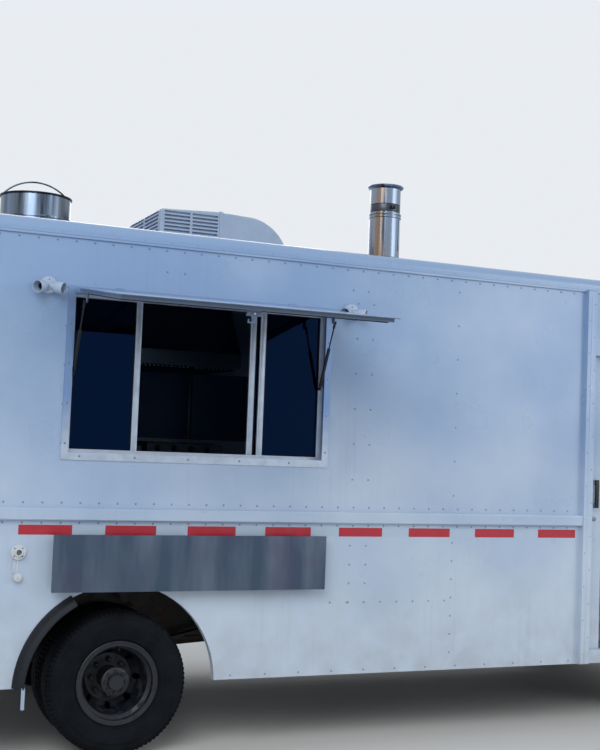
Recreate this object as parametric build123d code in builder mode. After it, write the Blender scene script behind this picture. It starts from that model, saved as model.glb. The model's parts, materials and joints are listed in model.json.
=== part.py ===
from build123d import *

import os
from math import cos, radians, sin

# A step-van food truck in millimetres. X points forward, Y to the truck's left, Z up.
# Sizes are written from the rear axle (x = 0), the centreline (y = 0) and the ground (z = 0).

# Body shell
HALF_WIDTH = 1180
WALL = 45
SKIRT_Z = 388
EAVES_Z = 2747
CROWN_Z = 2870
REAR_X = -1390
ROOF_OVERHANG = 12
FLOOR_Z = 765
FLOOR_T = 45
FLOOR_EDGE = HALF_WIDTH - 95
PANEL = 6

# Wheels
WHEELBASE = 4190
TYRE_R = 382
TYRE_W = 215
RIM_R = 203
RIM_LIP_R = 222
RIM_W = 165
RIM_OFFSET = 127
HUB_R = 62
HAND_HOLES = 8
HAND_HOLE_R = 17
DUAL_FACE_Y = HALF_WIDTH - 260
FRONT_FACE_Y = HALF_WIDTH - 93
KINGPIN_Y = HALF_WIDTH - 380
KINGPIN_R = 16
SPINDLE_R = 30
AXLE_END_R = 40
BEARING_GAP = 0.4

# Arches: centre x, radius; both are centred a little below the axle
ARCH_Z = 372
REAR_ARCH_X = -16
REAR_ARCH_R = 541
FRONT_ARCH_R = 430
WHEEL_BOX_Z = 931
REAR_BOX_HALF = REAR_ARCH_R + 14
REAR_BOX_X = (REAR_ARCH_X - REAR_BOX_HALF, REAR_ARCH_X + REAR_BOX_HALF)
REAR_BOX_Y = HALF_WIDTH - 536
FRONT_BOX_Z = 862
FRONT_BOX_Y = HALF_WIDTH - 576

# Cab and nose, placed from the front axle
CAB_X = WHEELBASE - 450
ROOF_FRONT_X = WHEELBASE + 175
HEADER_X = WHEELBASE + 155
FIREWALL_X = WHEELBASE + 400
FIREWALL_TOP = 1330
COWL = (WHEELBASE + 470, 1400)
NOSE_X = WHEELBASE + 715
NOSE_LIP_Z = 560
GRILLE_W = 840
GRILLE_Z0 = 640
GRILLE_Z1 = 1060
GRILLE_BAR = 26
SLATS = 7
HEADLAMP_Y = HALF_WIDTH - 420
HEADLAMP_Z = 850
HEADLAMP_R = 92
GLASS_T = 6
WINDSHIELD_W = HALF_WIDTH - 170
WINDSHIELD_H = 1080
WINDSHIELD_Y = WINDSHIELD_W / 2 + 40
ENGINE_X = WHEELBASE - 330
GEARBOX_X = ENGINE_X - 460
ENGINE_COVER_HALF = 330
ENGINE_COVER_TOP = 1180

# Sliding cab doors
DOOR_X0 = WHEELBASE - 1180
DOOR_X1 = WHEELBASE - 500
DOOR_Z0 = 469
DOOR_Z1 = 2333
DOOR_LAP = 25
DOOR_T = 35
DOOR_GAP = 5
DOOR_TRAVEL = 572
RIGHT_DOOR_OPEN = DOOR_TRAVEL
LEFT_DOOR_OPEN = 0
TRACK_BACK = DOOR_X0 - 700
TRACK_RISE = 55
TONGUE_T = 8
TONGUE_GAP = 0.5
STEP_Y = HALF_WIDTH - 380
STEP_Z = DOOR_Z0 - 29
STEP_WALL = 10

# Serving window in the right wall, its flap and its struts
WINDOW_X = 391
WINDOW_W = 1462
WINDOW_Z0 = 1604
WINDOW_Z1 = 2441
TRIM_W = 40
TRIM_T = 6
SLEEVE = 6
SLEEVE_Y = -(HALF_WIDTH - 88)
FLAP_W = 1478
FLAP_L = 862
FLAP_T = 24
FLAP_RIB = 36
FLAP_SKIN = 4
FLAP_SLOPE = 8
FLAP_AXIS_Y = -(HALF_WIDTH + 25)
FLAP_AXIS_Z = WINDOW_Z1 + 17
FLAP_START = 16
HINGE_R = 8
HINGE_GAP = 0.3
HINGE_HALF = 45
HINGES = (WINDOW_X - 471, WINDOW_X + 534)
LATCH_X = -42
LATCH_REACH = FLAP_L - 44
STRUT_X = WINDOW_W / 2 - 14
STRUT_LOW = (FLAP_AXIS_Y + 53, FLAP_AXIS_Z - 443)
STRUT_HIGH = (FLAP_AXIS_Y - 124, FLAP_AXIS_Z - 74)
STRUT_EAR = ((-9, -6), (9, -6), (24, 50), (-24, 44))
STRUT_TUBE_R = 9
STRUT_TUBE_L = 250
STRUT_ROD_R = 4
STRUT_EYE_R = 8
SASH_W = 383
SASH_STILE = 33
SASH_RAIL = 14
OUTER_TRACK = -(HALF_WIDTH - 55)
INNER_TRACK = -(HALF_WIDTH - 76)
SASH_END = (WINDOW_W - SASH_W) / 2
# Outer panes are fixed, the sliders stand open behind them
SLIDER_OPEN = 52
# Sashes: centre along x, plane, bar at the rear, bar at the front
SASHES = (
    (WINDOW_X - SASH_END, OUTER_TRACK, SASH_RAIL, SASH_STILE),
    (WINDOW_X - SASH_END, INNER_TRACK, SASH_STILE, SASH_STILE),
    (WINDOW_X + SASH_END, OUTER_TRACK, SASH_STILE, SASH_RAIL),
    (WINDOW_X + SASH_END - SLIDER_OPEN, INNER_TRACK, SASH_STILE, SASH_STILE),
)

# Folding shelf
SHELF_X0 = -404
SHELF_X1 = 1138
SHELF_DROP = 296
SHELF_T = 25
SHELF_TOP = 1178
SHELF_BACK_Y = -(HALF_WIDTH + 53)
SHELF_AXIS_Y = SHELF_BACK_Y + HINGE_R + 1
SHELF_AXIS_Z = SHELF_TOP - HINGE_R - 1
SHEET = 3
SHELF_HINGES = (SHELF_X0 + 104, (SHELF_X0 + SHELF_X1) / 2, SHELF_X1 - 108)

# Rear doors
REAR_DOOR_HALF = 600
REAR_DOOR_Z0 = 770
REAR_DOOR_Z1 = 2600
REAR_DOOR_LAP = 22
REAR_DOOR_T = 32
REAR_DOOR_OFF = 9
REAR_HINGE_R = 10
REAR_HINGE_L = 60

# Side trim
RUB_Z0 = 1248
RUB_Z1 = 1314
RUB_T = 28
POST_X = WHEELBASE - 1249
POST_W = 66
POST_T = 34

# Chassis
RAIL_Y = 432
RAIL_W = 70
RAIL_Z0 = 520
RAIL_H = 200
RAIL_T = 8
RAIL_FACE = RAIL_Y + RAIL_W / 2
SPRING_Y = 520
SPRING_W = 64
SPRING_LEAF = 9
AXLE_PAD_Z = 442
BEAM_PAD_Z = 390
BUMPER_X = NOSE_X + 60
BUMPER_Z = 400
BUMPER_H = 150
REAR_BUMPER_X = REAR_X - 130
REAR_BUMPER_Z = 450
REAR_BUMPER_H = 110
BUMPER_T = 8
PLATE_HOLES = 178
PLATE_HOLE_R = 3.5

# Roof furniture
COOLER_X = 350
COOLER_L = 865
COOLER_W = 700
COOLER_H = 265
LOUVRE_ROWS = 9
LOUVRE_PITCH = 23
LOUVRE_H = 13
STACK_X = 1789
STACK_Y = -580
STACK_R = 100
STACK_TOP = 3400
FAN_X = -401
FAN_Y = -280
FAN_R = 205
FAN_TOP = 3100
FAN_BASE = CROWN_Z + 96

# Wall fittings
FLOOD_X = 880
FLOOD_Z = 2470
INLET_X = -572
INLET_Z = 1083
INLET_R = 14

# Kitchen units: range along x, side of the truck and top
KITCHEN = (
    ("counter", -1150, 2300, -1, 1590),
    ("griddle", -1150, -640, 1, 1665),
    ("range", -600, 560, 1, 1640),
    ("fryer", 600, 1150, 1, 1665),
    ("fridge", 1600, 2280, 1, 2500),
)
KITCHEN_DEPTH = 600
HOOD_X = -1100
HOOD_L = 2300
HOOD_DEPTH = 760
HOOD_Z = 2200

# Mirrors
MIRROR_REACH = HALF_WIDTH + 250
MIRROR_X = WHEELBASE + 290
MIRROR_W = 200

# The part's origin is on the ground below the middle of the outer box
FLAP_REACH = -FLAP_AXIS_Y + FLAP_L * cos(radians(FLAP_SLOPE)) + FLAP_T / 2 * sin(radians(FLAP_SLOPE))
ORIGIN = Location((-(BUMPER_X + REAR_BUMPER_X) / 2, -(MIRROR_REACH - FLAP_REACH) / 2, 0))

os.makedirs("parts", exist_ok=True)


def finish(piece, name):
    """Set a finished piece about the part's origin, label it and write it."""
    placed = piece.part.moved(ORIGIN)
    placed.label = name
    export_step(placed, f"parts/{name}.step")


def upright(y):
    """A sketch plane at y, seen from the truck's right: sketches run in x and z, and extrude to -Y."""
    return Plane.XZ.offset(-y)


def across(x):
    """A sketch plane at x: sketches run in y and z, and extrude forward."""
    return Plane.YZ.offset(x)


def between(a, b):
    """The low and the high of two numbers."""
    return min(a, b), max(a, b)


def block(x, y, z, mode=Mode.ADD):
    """A box in the part being built, from its ranges along x, y and z."""
    sizes = [abs(span[1] - span[0]) for span in (x, y, z)]
    middle = tuple((span[0] + span[1]) / 2 for span in (x, y, z))
    with Locations(middle):
        Box(*sizes, mode=mode)


def rod(start, end, radius, mode=Mode.ADD):
    """A round bar between two points in the part being built."""
    path = Vector(*end) - Vector(*start)
    with Locations(Plane(origin=start, z_dir=path)):
        Cylinder(radius, path.length, align=(Align.CENTER, Align.CENTER, Align.MIN), mode=mode)


def rounded_window(plane, centre, width, height, radius, depth, mode=Mode.SUBTRACT):
    """Cut a window with rounded corners through what is being built, both ways from its plane."""
    with BuildSketch(plane) as outline:
        with Locations(centre):
            RectangleRounded(width, height, radius)
    extrude(outline.sketch, amount=depth, both=True, mode=mode)


def tyre(x, y):
    """A tyre: sidewalls bulge from the bead to the shoulders, and the tread is slightly crowned."""
    half = TYRE_W / 2
    bead = RIM_W / 2 - 10
    seat = TYRE_R + RIM_R + 0.3
    with BuildSketch(across(x)) as section:
        with BuildLine():
            inner = Polyline((y - bead, TYRE_R + RIM_LIP_R + 2), (y - bead, seat), (y - bead + 14, seat),
                             (y - bead + 22, seat + 14), (y + bead - 22, seat + 14), (y + bead - 14, seat),
                             (y + bead, seat), (y + bead, TYRE_R + RIM_LIP_R + 2))
            ThreePointArc(inner @ 1, (y + half, TYRE_R + 285), (y + half - 22, 2 * TYRE_R - 16))
            Line((y + half - 22, 2 * TYRE_R - 16), (y + half - 34, 2 * TYRE_R - 4))
            ThreePointArc((y + half - 34, 2 * TYRE_R - 4), (y, 2 * TYRE_R), (y - half + 34, 2 * TYRE_R - 4))
            Line((y - half + 34, 2 * TYRE_R - 4), (y - half + 22, 2 * TYRE_R - 16))
            ThreePointArc((y - half + 22, 2 * TYRE_R - 16), (y - half, TYRE_R + 285), inner @ 0)
        make_face()
    revolve(section.sketch, axis=Axis((x, y, TYRE_R), (0, 1, 0)))


def rim(x, y, toward):
    """A steel rim with its drop centre, and a disc dished to a mounting face on the side toward."""
    half = RIM_W / 2
    barrel = [(-half, RIM_LIP_R), (-half + 6, RIM_LIP_R), (-half + 9, RIM_R), (-45, RIM_R - 2),
              (-30, RIM_R - 18), (20, RIM_R - 18), (36, RIM_R - 2), (half - 9, RIM_R),
              (half - 6, RIM_LIP_R), (half, RIM_LIP_R), (half - 3, RIM_R - 6), (39, RIM_R - 8),
              (24, RIM_R - 25), (-34, RIM_R - 25), (-49, RIM_R - 8), (-half + 3, RIM_R - 6)]
    dish = [(14, RIM_R - 21), (98, 152), (RIM_OFFSET - 7, 128), (RIM_OFFSET - 7, HUB_R - 2),
            (RIM_OFFSET, HUB_R - 2), (RIM_OFFSET, 131), (104, 158), (23, RIM_R - 21)]
    for outline in (barrel, dish):
        with BuildSketch(across(x)) as section:
            with BuildLine():
                Polyline(*[(y + toward * w, TYRE_R + r) for w, r in outline], close=True)
            make_face()
        revolve(section.sketch, axis=Axis((x, y, TYRE_R), (0, 1, 0)))
    with Locations(Plane(origin=(x, y + toward * 80, TYRE_R), z_dir=(0, 1, 0))):
        with PolarLocations(150, HAND_HOLES):
            Cylinder(HAND_HOLE_R, 110, mode=Mode.SUBTRACT)


def wall_plate(side):
    """One body side, with its wheel arch and its cab door opening."""
    outer = side * HALF_WIDTH
    inner = side * (HALF_WIDTH - WALL)
    with BuildPart() as wall:
        block((REAR_X + WALL, CAB_X), between(outer, inner), (SKIRT_Z, EAVES_Z))
        with BuildSketch(upright(max(outer, inner) + 1)) as openings:
            with Locations((REAR_ARCH_X, ARCH_Z)):
                Circle(REAR_ARCH_R)
            with Locations(((DOOR_X0 + DOOR_X1) / 2, (DOOR_Z0 + DOOR_Z1) / 2)):
                Rectangle(DOOR_X1 - DOOR_X0, DOOR_Z1 - DOOR_Z0)
        extrude(openings.sketch, amount=WALL + 2, mode=Mode.SUBTRACT)
        # The door hangs by a tongue between two lips of a track over its opening
        track_z = DOOR_Z1 + TRACK_RISE
        middle = HALF_WIDTH - WALL - DOOR_GAP - DOOR_T / 2
        slot = TONGUE_T / 2 + TONGUE_GAP
        track = (TRACK_BACK, CAB_X - 10)
        for low, high in ((middle - slot - 10, middle - slot), (middle + slot, HALF_WIDTH - WALL)):
            block(track, between(side * low, side * high), (track_z - 30, track_z + 6))
        block(track, between(side * (middle - slot - 10), inner), (track_z, track_z + 6))
    return wall


def cab_door(side, opened):
    """A sliding cab door that runs inside the wall, its front edge set back by how far it is open."""
    front = DOOR_X1 + DOOR_LAP - opened
    back = front - (DOOR_X1 - DOOR_X0) - 2 * DOOR_LAP
    outer = HALF_WIDTH - WALL - DOOR_GAP
    middle = outer - DOOR_T / 2
    top = DOOR_Z1 + 20
    low = DOOR_Z0 - 15
    window = ((front + back) / 2 + 10, DOOR_Z1 - 418)
    window_w = DOOR_X1 - DOOR_X0 - 120
    window_h = 740
    handle_z = DOOR_Z0 + 980
    with BuildPart() as door:
        block((back, front), between(side * outer, side * (outer - DOOR_T)), (low, top))
        rounded_window(upright(side * middle), window, window_w, window_h, 60, DOOR_T)
        block((back + 60, front - 60), between(side * (middle - TONGUE_T / 2), side * (middle + TONGUE_T / 2)),
              (top, DOOR_Z1 + TRACK_RISE - 6))
        # A pull handle on two feet
        for z in (handle_z - 74, handle_z + 75):
            block((front - 70, front - 48), between(side * outer, side * (outer + 20)), (z - 12, z + 12))
        block((front - 72, front - 46), between(side * (outer + 20), side * (outer + 30)),
              (handle_z - 88, handle_z + 89))
    with BuildPart() as pane:
        with BuildSketch(upright(side * middle + GLASS_T / 2)) as outline:
            with Locations(window):
                RectangleRounded(window_w, window_h, 60)
        extrude(outline.sketch, amount=GLASS_T)
    return door, pane


def rear_door(side):
    """A rear door leaf that laps the opening from outside and swings on hinges at its outer edge."""
    face = REAR_X - REAR_DOOR_OFF
    back = face - REAR_DOOR_T
    middle = face - REAR_DOOR_T / 2
    edge = REAR_DOOR_HALF + REAR_DOOR_LAP
    centre = (side * (edge + 4) / 2, REAR_DOOR_Z1 - 650)
    bar_z = REAR_DOOR_Z0 + 520
    with BuildPart() as leaf:
        block((back, face), between(side * 3, side * edge),
              (REAR_DOOR_Z0 - REAR_DOOR_LAP, REAR_DOOR_Z1 + REAR_DOOR_LAP))
        rounded_window(across(middle), centre, 400, 520, 50, REAR_DOOR_T)
        for z in rear_hinge_heights():
            rod((middle, side * (edge + 12), z - REAR_HINGE_L), (middle, side * (edge + 12), z), REAR_HINGE_R)
            block((middle - 4, middle + 4), between(side * (edge - 2), side * (edge + 6)),
                  (z - REAR_HINGE_L, z))
        # A lever bar on two standoffs
        for z in (bar_z - 100, bar_z + 100):
            block((back - 18, back), between(side * 40, side * 60), (z - 10, z + 10))
        block((back - 30, back - 18), between(side * 38, side * 62), (bar_z - 120, bar_z + 120))
    with BuildPart() as pane:
        with BuildSketch(across(middle - GLASS_T / 2)) as outline:
            with Locations(centre):
                RectangleRounded(400, 520, 50)
        extrude(outline.sketch, amount=GLASS_T)
    return leaf, pane


def rear_hinge_heights():
    """Where the moving and the fixed half of each rear door hinge meet."""
    low, high = REAR_DOOR_Z0 - REAR_DOOR_LAP, REAR_DOOR_Z1 + REAR_DOOR_LAP
    return low + 180, (low + high) / 2, high - 180


def knuckle(side):
    """A steering knuckle: two lugs on the kingpin, an upright and the wheel's spindle."""
    pin = side * KINGPIN_Y
    lug = (54, 80)
    along = (WHEELBASE - 34, WHEELBASE + 34)
    with BuildPart() as body:
        for z0, z1 in ((TYRE_R - lug[1], TYRE_R - lug[0]), (TYRE_R + lug[0], TYRE_R + lug[1])):
            with Locations((WHEELBASE, pin, (z0 + z1) / 2)):
                Cylinder(34, z1 - z0)
            block(along, between(pin, pin + side * 56), (z0, z1))
        block(along, between(pin + side * 40, pin + side * 56), (TYRE_R - lug[1], TYRE_R + lug[1]))
        rod((WHEELBASE, pin, TYRE_R - lug[1]), (WHEELBASE, pin, TYRE_R + lug[1]), KINGPIN_R)
        rod((WHEELBASE, pin + side * 50, TYRE_R), (WHEELBASE, side * (FRONT_FACE_Y - 10), TYRE_R), SPINDLE_R)
        # The steering arm reaches back from the lower lug
        block((WHEELBASE - 190, WHEELBASE - 20), between(pin - side * 16, pin + side * 16),
              (TYRE_R - lug[1], TYRE_R - 60))
        with Locations((WHEELBASE - 190, pin, TYRE_R - 70)):
            Cylinder(22, 20)
    return body


def front_wheel(side):
    """A front rim with its disc outboard, its brake rotor and its hub; then its tyre."""
    centre = side * (FRONT_FACE_Y - RIM_OFFSET)

    def at(inset):
        return WHEELBASE, side * (FRONT_FACE_Y + inset), TYRE_R

    with BuildPart() as wheel:
        rim(WHEELBASE, centre, side)
        rod(at(-207), at(40), HUB_R)
        rod(at(-207), at(-183), 150)
        rod(at(-217), at(0), SPINDLE_R + BEARING_GAP, mode=Mode.SUBTRACT)
    with BuildPart() as rubber:
        tyre(WHEELBASE, centre)
    return wheel, rubber


def rear_wheels(side):
    """Twin rims bolted back to back with hub and brake drum; then their two tyres."""
    outer = side * (DUAL_FACE_Y + RIM_OFFSET)
    inner = side * (DUAL_FACE_Y - RIM_OFFSET)

    def at(inset):
        return 0, side * (DUAL_FACE_Y + inset), TYRE_R

    with BuildPart() as wheels:
        rim(0, outer, -side)
        rim(0, inner, side)
        # The hub stands out of the dished disc and ends in the axle shaft's flange and a cap
        rod(at(-94), at(150), HUB_R)
        rod(at(150), at(164), HUB_R + 14)
        rod(at(164), at(190), HUB_R - 22)
        rod(at(-162), at(-84), 165)
        rod(at(-164), at(-94), 155, mode=Mode.SUBTRACT)
        rod(at(-100), at(70), AXLE_END_R + BEARING_GAP, mode=Mode.SUBTRACT)
    with BuildPart() as rubber:
        tyre(0, outer)
        tyre(0, inner)
    return wheels, rubber


def spring_pack(x, half_length, rise, axle_top):
    """A pack of four leaves over an axle, each shorter than the one above, with an eye at each end."""
    leaf = SPRING_LEAF
    reach = ((half_length, 3), (half_length * 0.8, 2), (half_length * 0.58, 1), (half_length * 0.36, 0))
    for length, level in reach:
        low = axle_top + level * leaf
        lift = rise * (length / half_length) ** 2
        with BuildSketch(upright(SPRING_W / 2)) as side_view:
            with BuildLine():
                ThreePointArc((x - length, low + lift), (x, low), (x + length, low + lift))
                Line((x + length, low + lift), (x + length, low + lift + leaf))
                ThreePointArc((x + length, low + lift + leaf), (x, low + leaf), (x - length, low + lift + leaf))
                Line((x - length, low + lift + leaf), (x - length, low + lift))
            make_face()
        for side in (1, -1):
            extrude(Pos(0, side * SPRING_Y, 0) * side_view.sketch, amount=SPRING_W)
    eye_z = axle_top + 3 * leaf + rise + 14
    for side in (1, -1):
        inside, outside = side * (SPRING_Y - SPRING_W / 2), side * (SPRING_Y + SPRING_W / 2)
        for eye_x in (x - half_length, x + half_length):
            rod((eye_x, inside, eye_z), (eye_x, outside, eye_z), 22)
            rod((eye_x, side * RAIL_FACE, eye_z), (eye_x, outside, eye_z), 12)


def nose_outline(reach):
    """The cab's side outline in x and z, with its open sides pushed out by reach."""
    slope = (COWL[0] - HEADER_X) / (EAVES_Z - COWL[1])
    with BuildSketch(upright(0)) as outline:
        with BuildLine():
            Polyline((CAB_X - reach, SKIRT_Z - reach), (NOSE_X - 20, SKIRT_Z - reach), (NOSE_X, 700),
                     (NOSE_X - 13, 1140), (NOSE_X - 95, 1270), COWL,
                     (HEADER_X - reach * slope, EAVES_Z + reach), (CAB_X - reach, EAVES_Z + reach), close=True)
        make_face()
        fillet(outline.vertices().sort_by(Axis.X)[-4:-1], 60)
    return outline.sketch


def quarter_window(plane):
    """The outline of a cab side window, cut back in front to follow the windshield pillar."""
    back, sill, head = CAB_X + 100, COWL[1] + 80, DOOR_Z1 - 173
    with BuildSketch(plane) as outline:
        with BuildLine():
            Polyline((back, sill), (COWL[0] - 160, sill), (COWL[0] - 310, head), (back, head), close=True)
        make_face()
        fillet(outline.vertices(), 60)
    return outline.sketch


def windshield_panes(plane):
    """Both windshield panes as rounded outlines on a slanted plane."""
    with BuildSketch(plane) as outline:
        with Locations((-WINDSHIELD_Y, 0), (WINDSHIELD_Y, 0)):
            RectangleRounded(WINDSHIELD_W, WINDSHIELD_H, 70)
    return outline.sketch


def wheel_box(x, inner_y, outer_y, top, side, back=PANEL, front=PANEL):
    """An open box over a wheel, from its range along x: its roof, its inner wall and its end walls."""
    low = FLOOR_Z - FLOOR_T
    block(x, between(side * inner_y, side * outer_y), (low, top))
    block((x[0] + back, x[1] - front), between(side * (inner_y + PANEL), side * (outer_y + 1)),
          (low - 1, top - PANEL), mode=Mode.SUBTRACT)


def flare(x, radius, side, start, end):
    """A rubber arch flare: a flange on the body and a lip that curls out and in, swept between two angles."""
    face = side * HALF_WIDTH
    outline = [(0, radius + 14), (5, radius + 14), (9, radius + 4), (40, radius - 12), (51, radius - 34),
               (51, radius - 41), (44, radius - 41), (33, radius - 19), (0, radius - 4)]
    with BuildSketch(Plane(origin=(x, 0, ARCH_Z), x_dir=(0, 1, 0), z_dir=(1, 0, 0))) as section:
        with BuildLine():
            Polyline(*[(face + side * out, r) for out, r in outline], close=True)
        make_face()
    turned = section.sketch.rotate(Axis((x, 0, ARCH_Z), (0, 1, 0)), start)
    revolve(turned, axis=Axis((x, 0, ARCH_Z), (0, 1, 0)), revolution_arc=end - start)


# Ladder frame: two channels that open inward, with crossmembers between them
with BuildPart() as frame:
    rail_ends = (REAR_X + WALL + 5, NOSE_X - 70)
    rail_top = RAIL_Z0 + RAIL_H
    for side in (1, -1):
        block(rail_ends, between(side * RAIL_FACE, side * (RAIL_FACE - RAIL_T)), (RAIL_Z0, rail_top))
        for z in (RAIL_Z0, rail_top - RAIL_T):
            block(rail_ends, between(side * RAIL_FACE, side * (RAIL_FACE - RAIL_W)), (z, z + RAIL_T))
    for x in (REAR_X + 90, -620, 620, 1900, WHEELBASE - 1090, NOSE_X - 215):
        block((x - 35, x + 35), (RAIL_T - RAIL_FACE, RAIL_FACE - RAIL_T), (rail_top - 90, rail_top - RAIL_T))
    # Outriggers carry the floor's edges
    under_floor = FLOOR_Z - FLOOR_T
    for x, reach in ((REAR_X + 140, HALF_WIDTH - WALL), (1000, HALF_WIDTH - WALL), (DOOR_X0 - 160, FLOOR_EDGE)):
        for side in (1, -1):
            block((x - 25, x + 25), between(side * RAIL_FACE, side * reach), (under_floor - 60, under_floor))
finish(frame, "frame")

with BuildPart() as engine:
    radiator_x = NOSE_X - 165
    block((ENGINE_X, FIREWALL_X - 30), (-270, 270), (560, 1090))
    block((GEARBOX_X, ENGINE_X), (-170, 170), (470, 700))
    block((radiator_x, radiator_x + 60), (-330, 330), (600, 1080))
    block((FIREWALL_X - 30, radiator_x), (-60, 60), (760, 880))
finish(engine, "engine")

with BuildPart() as fuel_tank:
    tank_x = (1150, 2150)
    tank_y = (-(HALF_WIDTH - 120), -(RAIL_FACE + 53))
    tank_z = (450, 700)
    block(tank_x, tank_y, tank_z)
    fillet(fuel_tank.edges().filter_by(Axis.X), 60)
    # Two straps round the tank, and their arms on the rail
    for x in (tank_x[0] + 200, tank_x[1] - 200):
        block((x - 20, x + 20), (tank_y[0] - 4, tank_y[1] + 4), (tank_z[0] - 4, tank_z[1] + 4))
        block((x - 20, x + 20), (tank_y[1], -RAIL_FACE), (RAIL_Z0 + 40, RAIL_Z0 + 100))
finish(fuel_tank, "fuel_tank")

with BuildPart() as exhaust_pipe:
    pipe_y, pipe_z, pipe_r = 600, 610, 28
    bend = (REAR_X + 410, pipe_y, pipe_z)
    rod((ENGINE_X - 560, pipe_y, pipe_z), bend, pipe_r)
    rod((2050, pipe_y, pipe_z - 10), (2750, pipe_y, pipe_z - 10), 95)
    rod(bend, (bend[0] - 200, pipe_y, pipe_z - 140), pipe_r)
    with Locations(bend):
        Sphere(pipe_r)
    for x in (2900, 1300, -800):
        block((x - 15, x + 15), (RAIL_FACE, pipe_y), (pipe_z + 16, pipe_z + 36))
finish(exhaust_pipe, "exhaust_pipe")

# Front beam: dropped in the middle, with a boss bored for each kingpin
with BuildPart() as front_axle:
    half = 35
    drop_y, end_y = KINGPIN_Y - 200, KINGPIN_Y - 160
    high, low, under = BEAM_PAD_Z + 38, BEAM_PAD_Z - 15, BEAM_PAD_Z - 105
    with BuildSketch(across(WHEELBASE - half)) as beam:
        with BuildLine():
            Polyline((-KINGPIN_Y, high), (-end_y, high), (-drop_y, low), (drop_y, low), (end_y, high),
                     (KINGPIN_Y, high), (KINGPIN_Y, low - 25), (end_y + 20, low - 25), (drop_y, under),
                     (-drop_y, under), (-end_y - 20, low - 25), (-KINGPIN_Y, low - 25), close=True)
        make_face()
    extrude(beam.sketch, amount=2 * half)
    for x in (WHEELBASE - half, WHEELBASE + half):
        block((x - 22, x + 22), (-drop_y + 20, drop_y - 20), (under + 16, low - 16), mode=Mode.SUBTRACT)
    for side in (1, -1):
        block((WHEELBASE - 45, WHEELBASE + 45), between(side * (SPRING_Y - 40), side * (SPRING_Y + 40)),
              (low - 16, BEAM_PAD_Z))
        with Locations((WHEELBASE, side * KINGPIN_Y, TYRE_R)):
            Cylinder(35, 106)
            Cylinder(KINGPIN_R + BEARING_GAP, 130, mode=Mode.SUBTRACT)
finish(front_axle, "front_axle")

with BuildPart() as leaf_springs:
    spring_pack(0, 700, 100, AXLE_PAD_Z)
    spring_pack(WHEELBASE, 560, 90, BEAM_PAD_Z)
finish(leaf_springs, "leaf_springs")

# Rear axle: tube, differential, brake backing plates, spindles and the driveshaft to the gearbox
with BuildPart() as rear_axle:
    plate_y = DUAL_FACE_Y - 178
    rod((0, -plate_y - 8, TYRE_R), (0, plate_y + 8, TYRE_R), 48)
    with BuildSketch(across(0)) as housing:
        with BuildLine():
            Polyline((-190, TYRE_R), (-190, TYRE_R + 55), (-80, TYRE_R + 165), (80, TYRE_R + 165),
                     (190, TYRE_R + 55), (190, TYRE_R), close=True)
        make_face()
    revolve(housing.sketch, axis=Axis((0, 0, TYRE_R), (0, 1, 0)))
    rod((130, 0, TYRE_R), (290, 0, TYRE_R + 15), 62)
    rod((280, 0, TYRE_R + 14), (GEARBOX_X - 3, 0, 600), 40)
    for side in (1, -1):
        rod((0, side * plate_y, TYRE_R), (0, side * (plate_y + 10), TYRE_R), 160)
        rod((0, side * (plate_y + 8), TYRE_R), (0, side * (DUAL_FACE_Y + 65), TYRE_R), AXLE_END_R)
        block((-60, 60), between(side * (SPRING_Y - 36), side * (SPRING_Y + 36)), (TYRE_R, AXLE_PAD_Z))
finish(rear_axle, "rear_axle")

# Floor plate, cut out for the wheel boxes, the entrance wells, the doors' travel and the engine
with BuildPart() as floor:
    inner = HALF_WIDTH - WALL
    cut = (FLOOR_Z - FLOOR_T - 1, FLOOR_Z + 1)
    block((REAR_X + WALL, FIREWALL_X), (-inner, inner), (FLOOR_Z - FLOOR_T, FLOOR_Z))
    for side in (1, -1):
        block((TRACK_BACK, DOOR_X1 + 60), between(side * FLOOR_EDGE, side * (inner + 1)), cut,
              mode=Mode.SUBTRACT)
        block(REAR_BOX_X, between(side * REAR_BOX_Y, side * (inner + 1)), cut, mode=Mode.SUBTRACT)
        block((DOOR_X1 + STEP_WALL, FIREWALL_X + 1), between(side * FRONT_BOX_Y, side * (inner + 1)), cut,
              mode=Mode.SUBTRACT)
        block((DOOR_X0 - STEP_WALL, DOOR_X1 + STEP_WALL),
              between(side * (STEP_Y - STEP_WALL), side * (FLOOR_EDGE + 1)), cut, mode=Mode.SUBTRACT)
    block((CAB_X + 80 + PANEL, FIREWALL_X + 1), (PANEL - ENGINE_COVER_HALF, ENGINE_COVER_HALF - PANEL), cut,
          mode=Mode.SUBTRACT)
finish(floor, "floor")

with BuildPart() as wheel_boxes:
    for side in (1, -1):
        wheel_box(REAR_BOX_X, REAR_BOX_Y, inner, WHEEL_BOX_Z, side)
        # The front boxes end at the firewall and step in beside the doors
        wheel_box((DOOR_X1 + STEP_WALL, FIREWALL_X), FRONT_BOX_Y, inner, FRONT_BOX_Z, side, front=-1)
        block((DOOR_X1 + STEP_WALL - 1, CAB_X + 10), between(side * FLOOR_EDGE, side * (inner + 1)),
              (FLOOR_Z - FLOOR_T - 1, FRONT_BOX_Z + 1), mode=Mode.SUBTRACT)
finish(wheel_boxes, "wheel_boxes")

# Entrance wells behind the cab doors: a tread, its riser and two cheeks
with BuildPart() as entrance_steps:
    for side in (1, -1):
        run = (DOOR_X0 - STEP_WALL, DOOR_X1 + STEP_WALL)
        block(run, between(side * (STEP_Y - STEP_WALL), side * FLOOR_EDGE), (STEP_Z, DOOR_Z0))
        block(run, between(side * (STEP_Y - STEP_WALL), side * STEP_Y), (STEP_Z, FLOOR_Z))
        for x in (DOOR_X0 - STEP_WALL, DOOR_X1):
            block((x, x + STEP_WALL), between(side * (STEP_Y - STEP_WALL), side * FLOOR_EDGE),
                  (STEP_Z, FLOOR_Z))
finish(entrance_steps, "entrance_steps")

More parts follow.
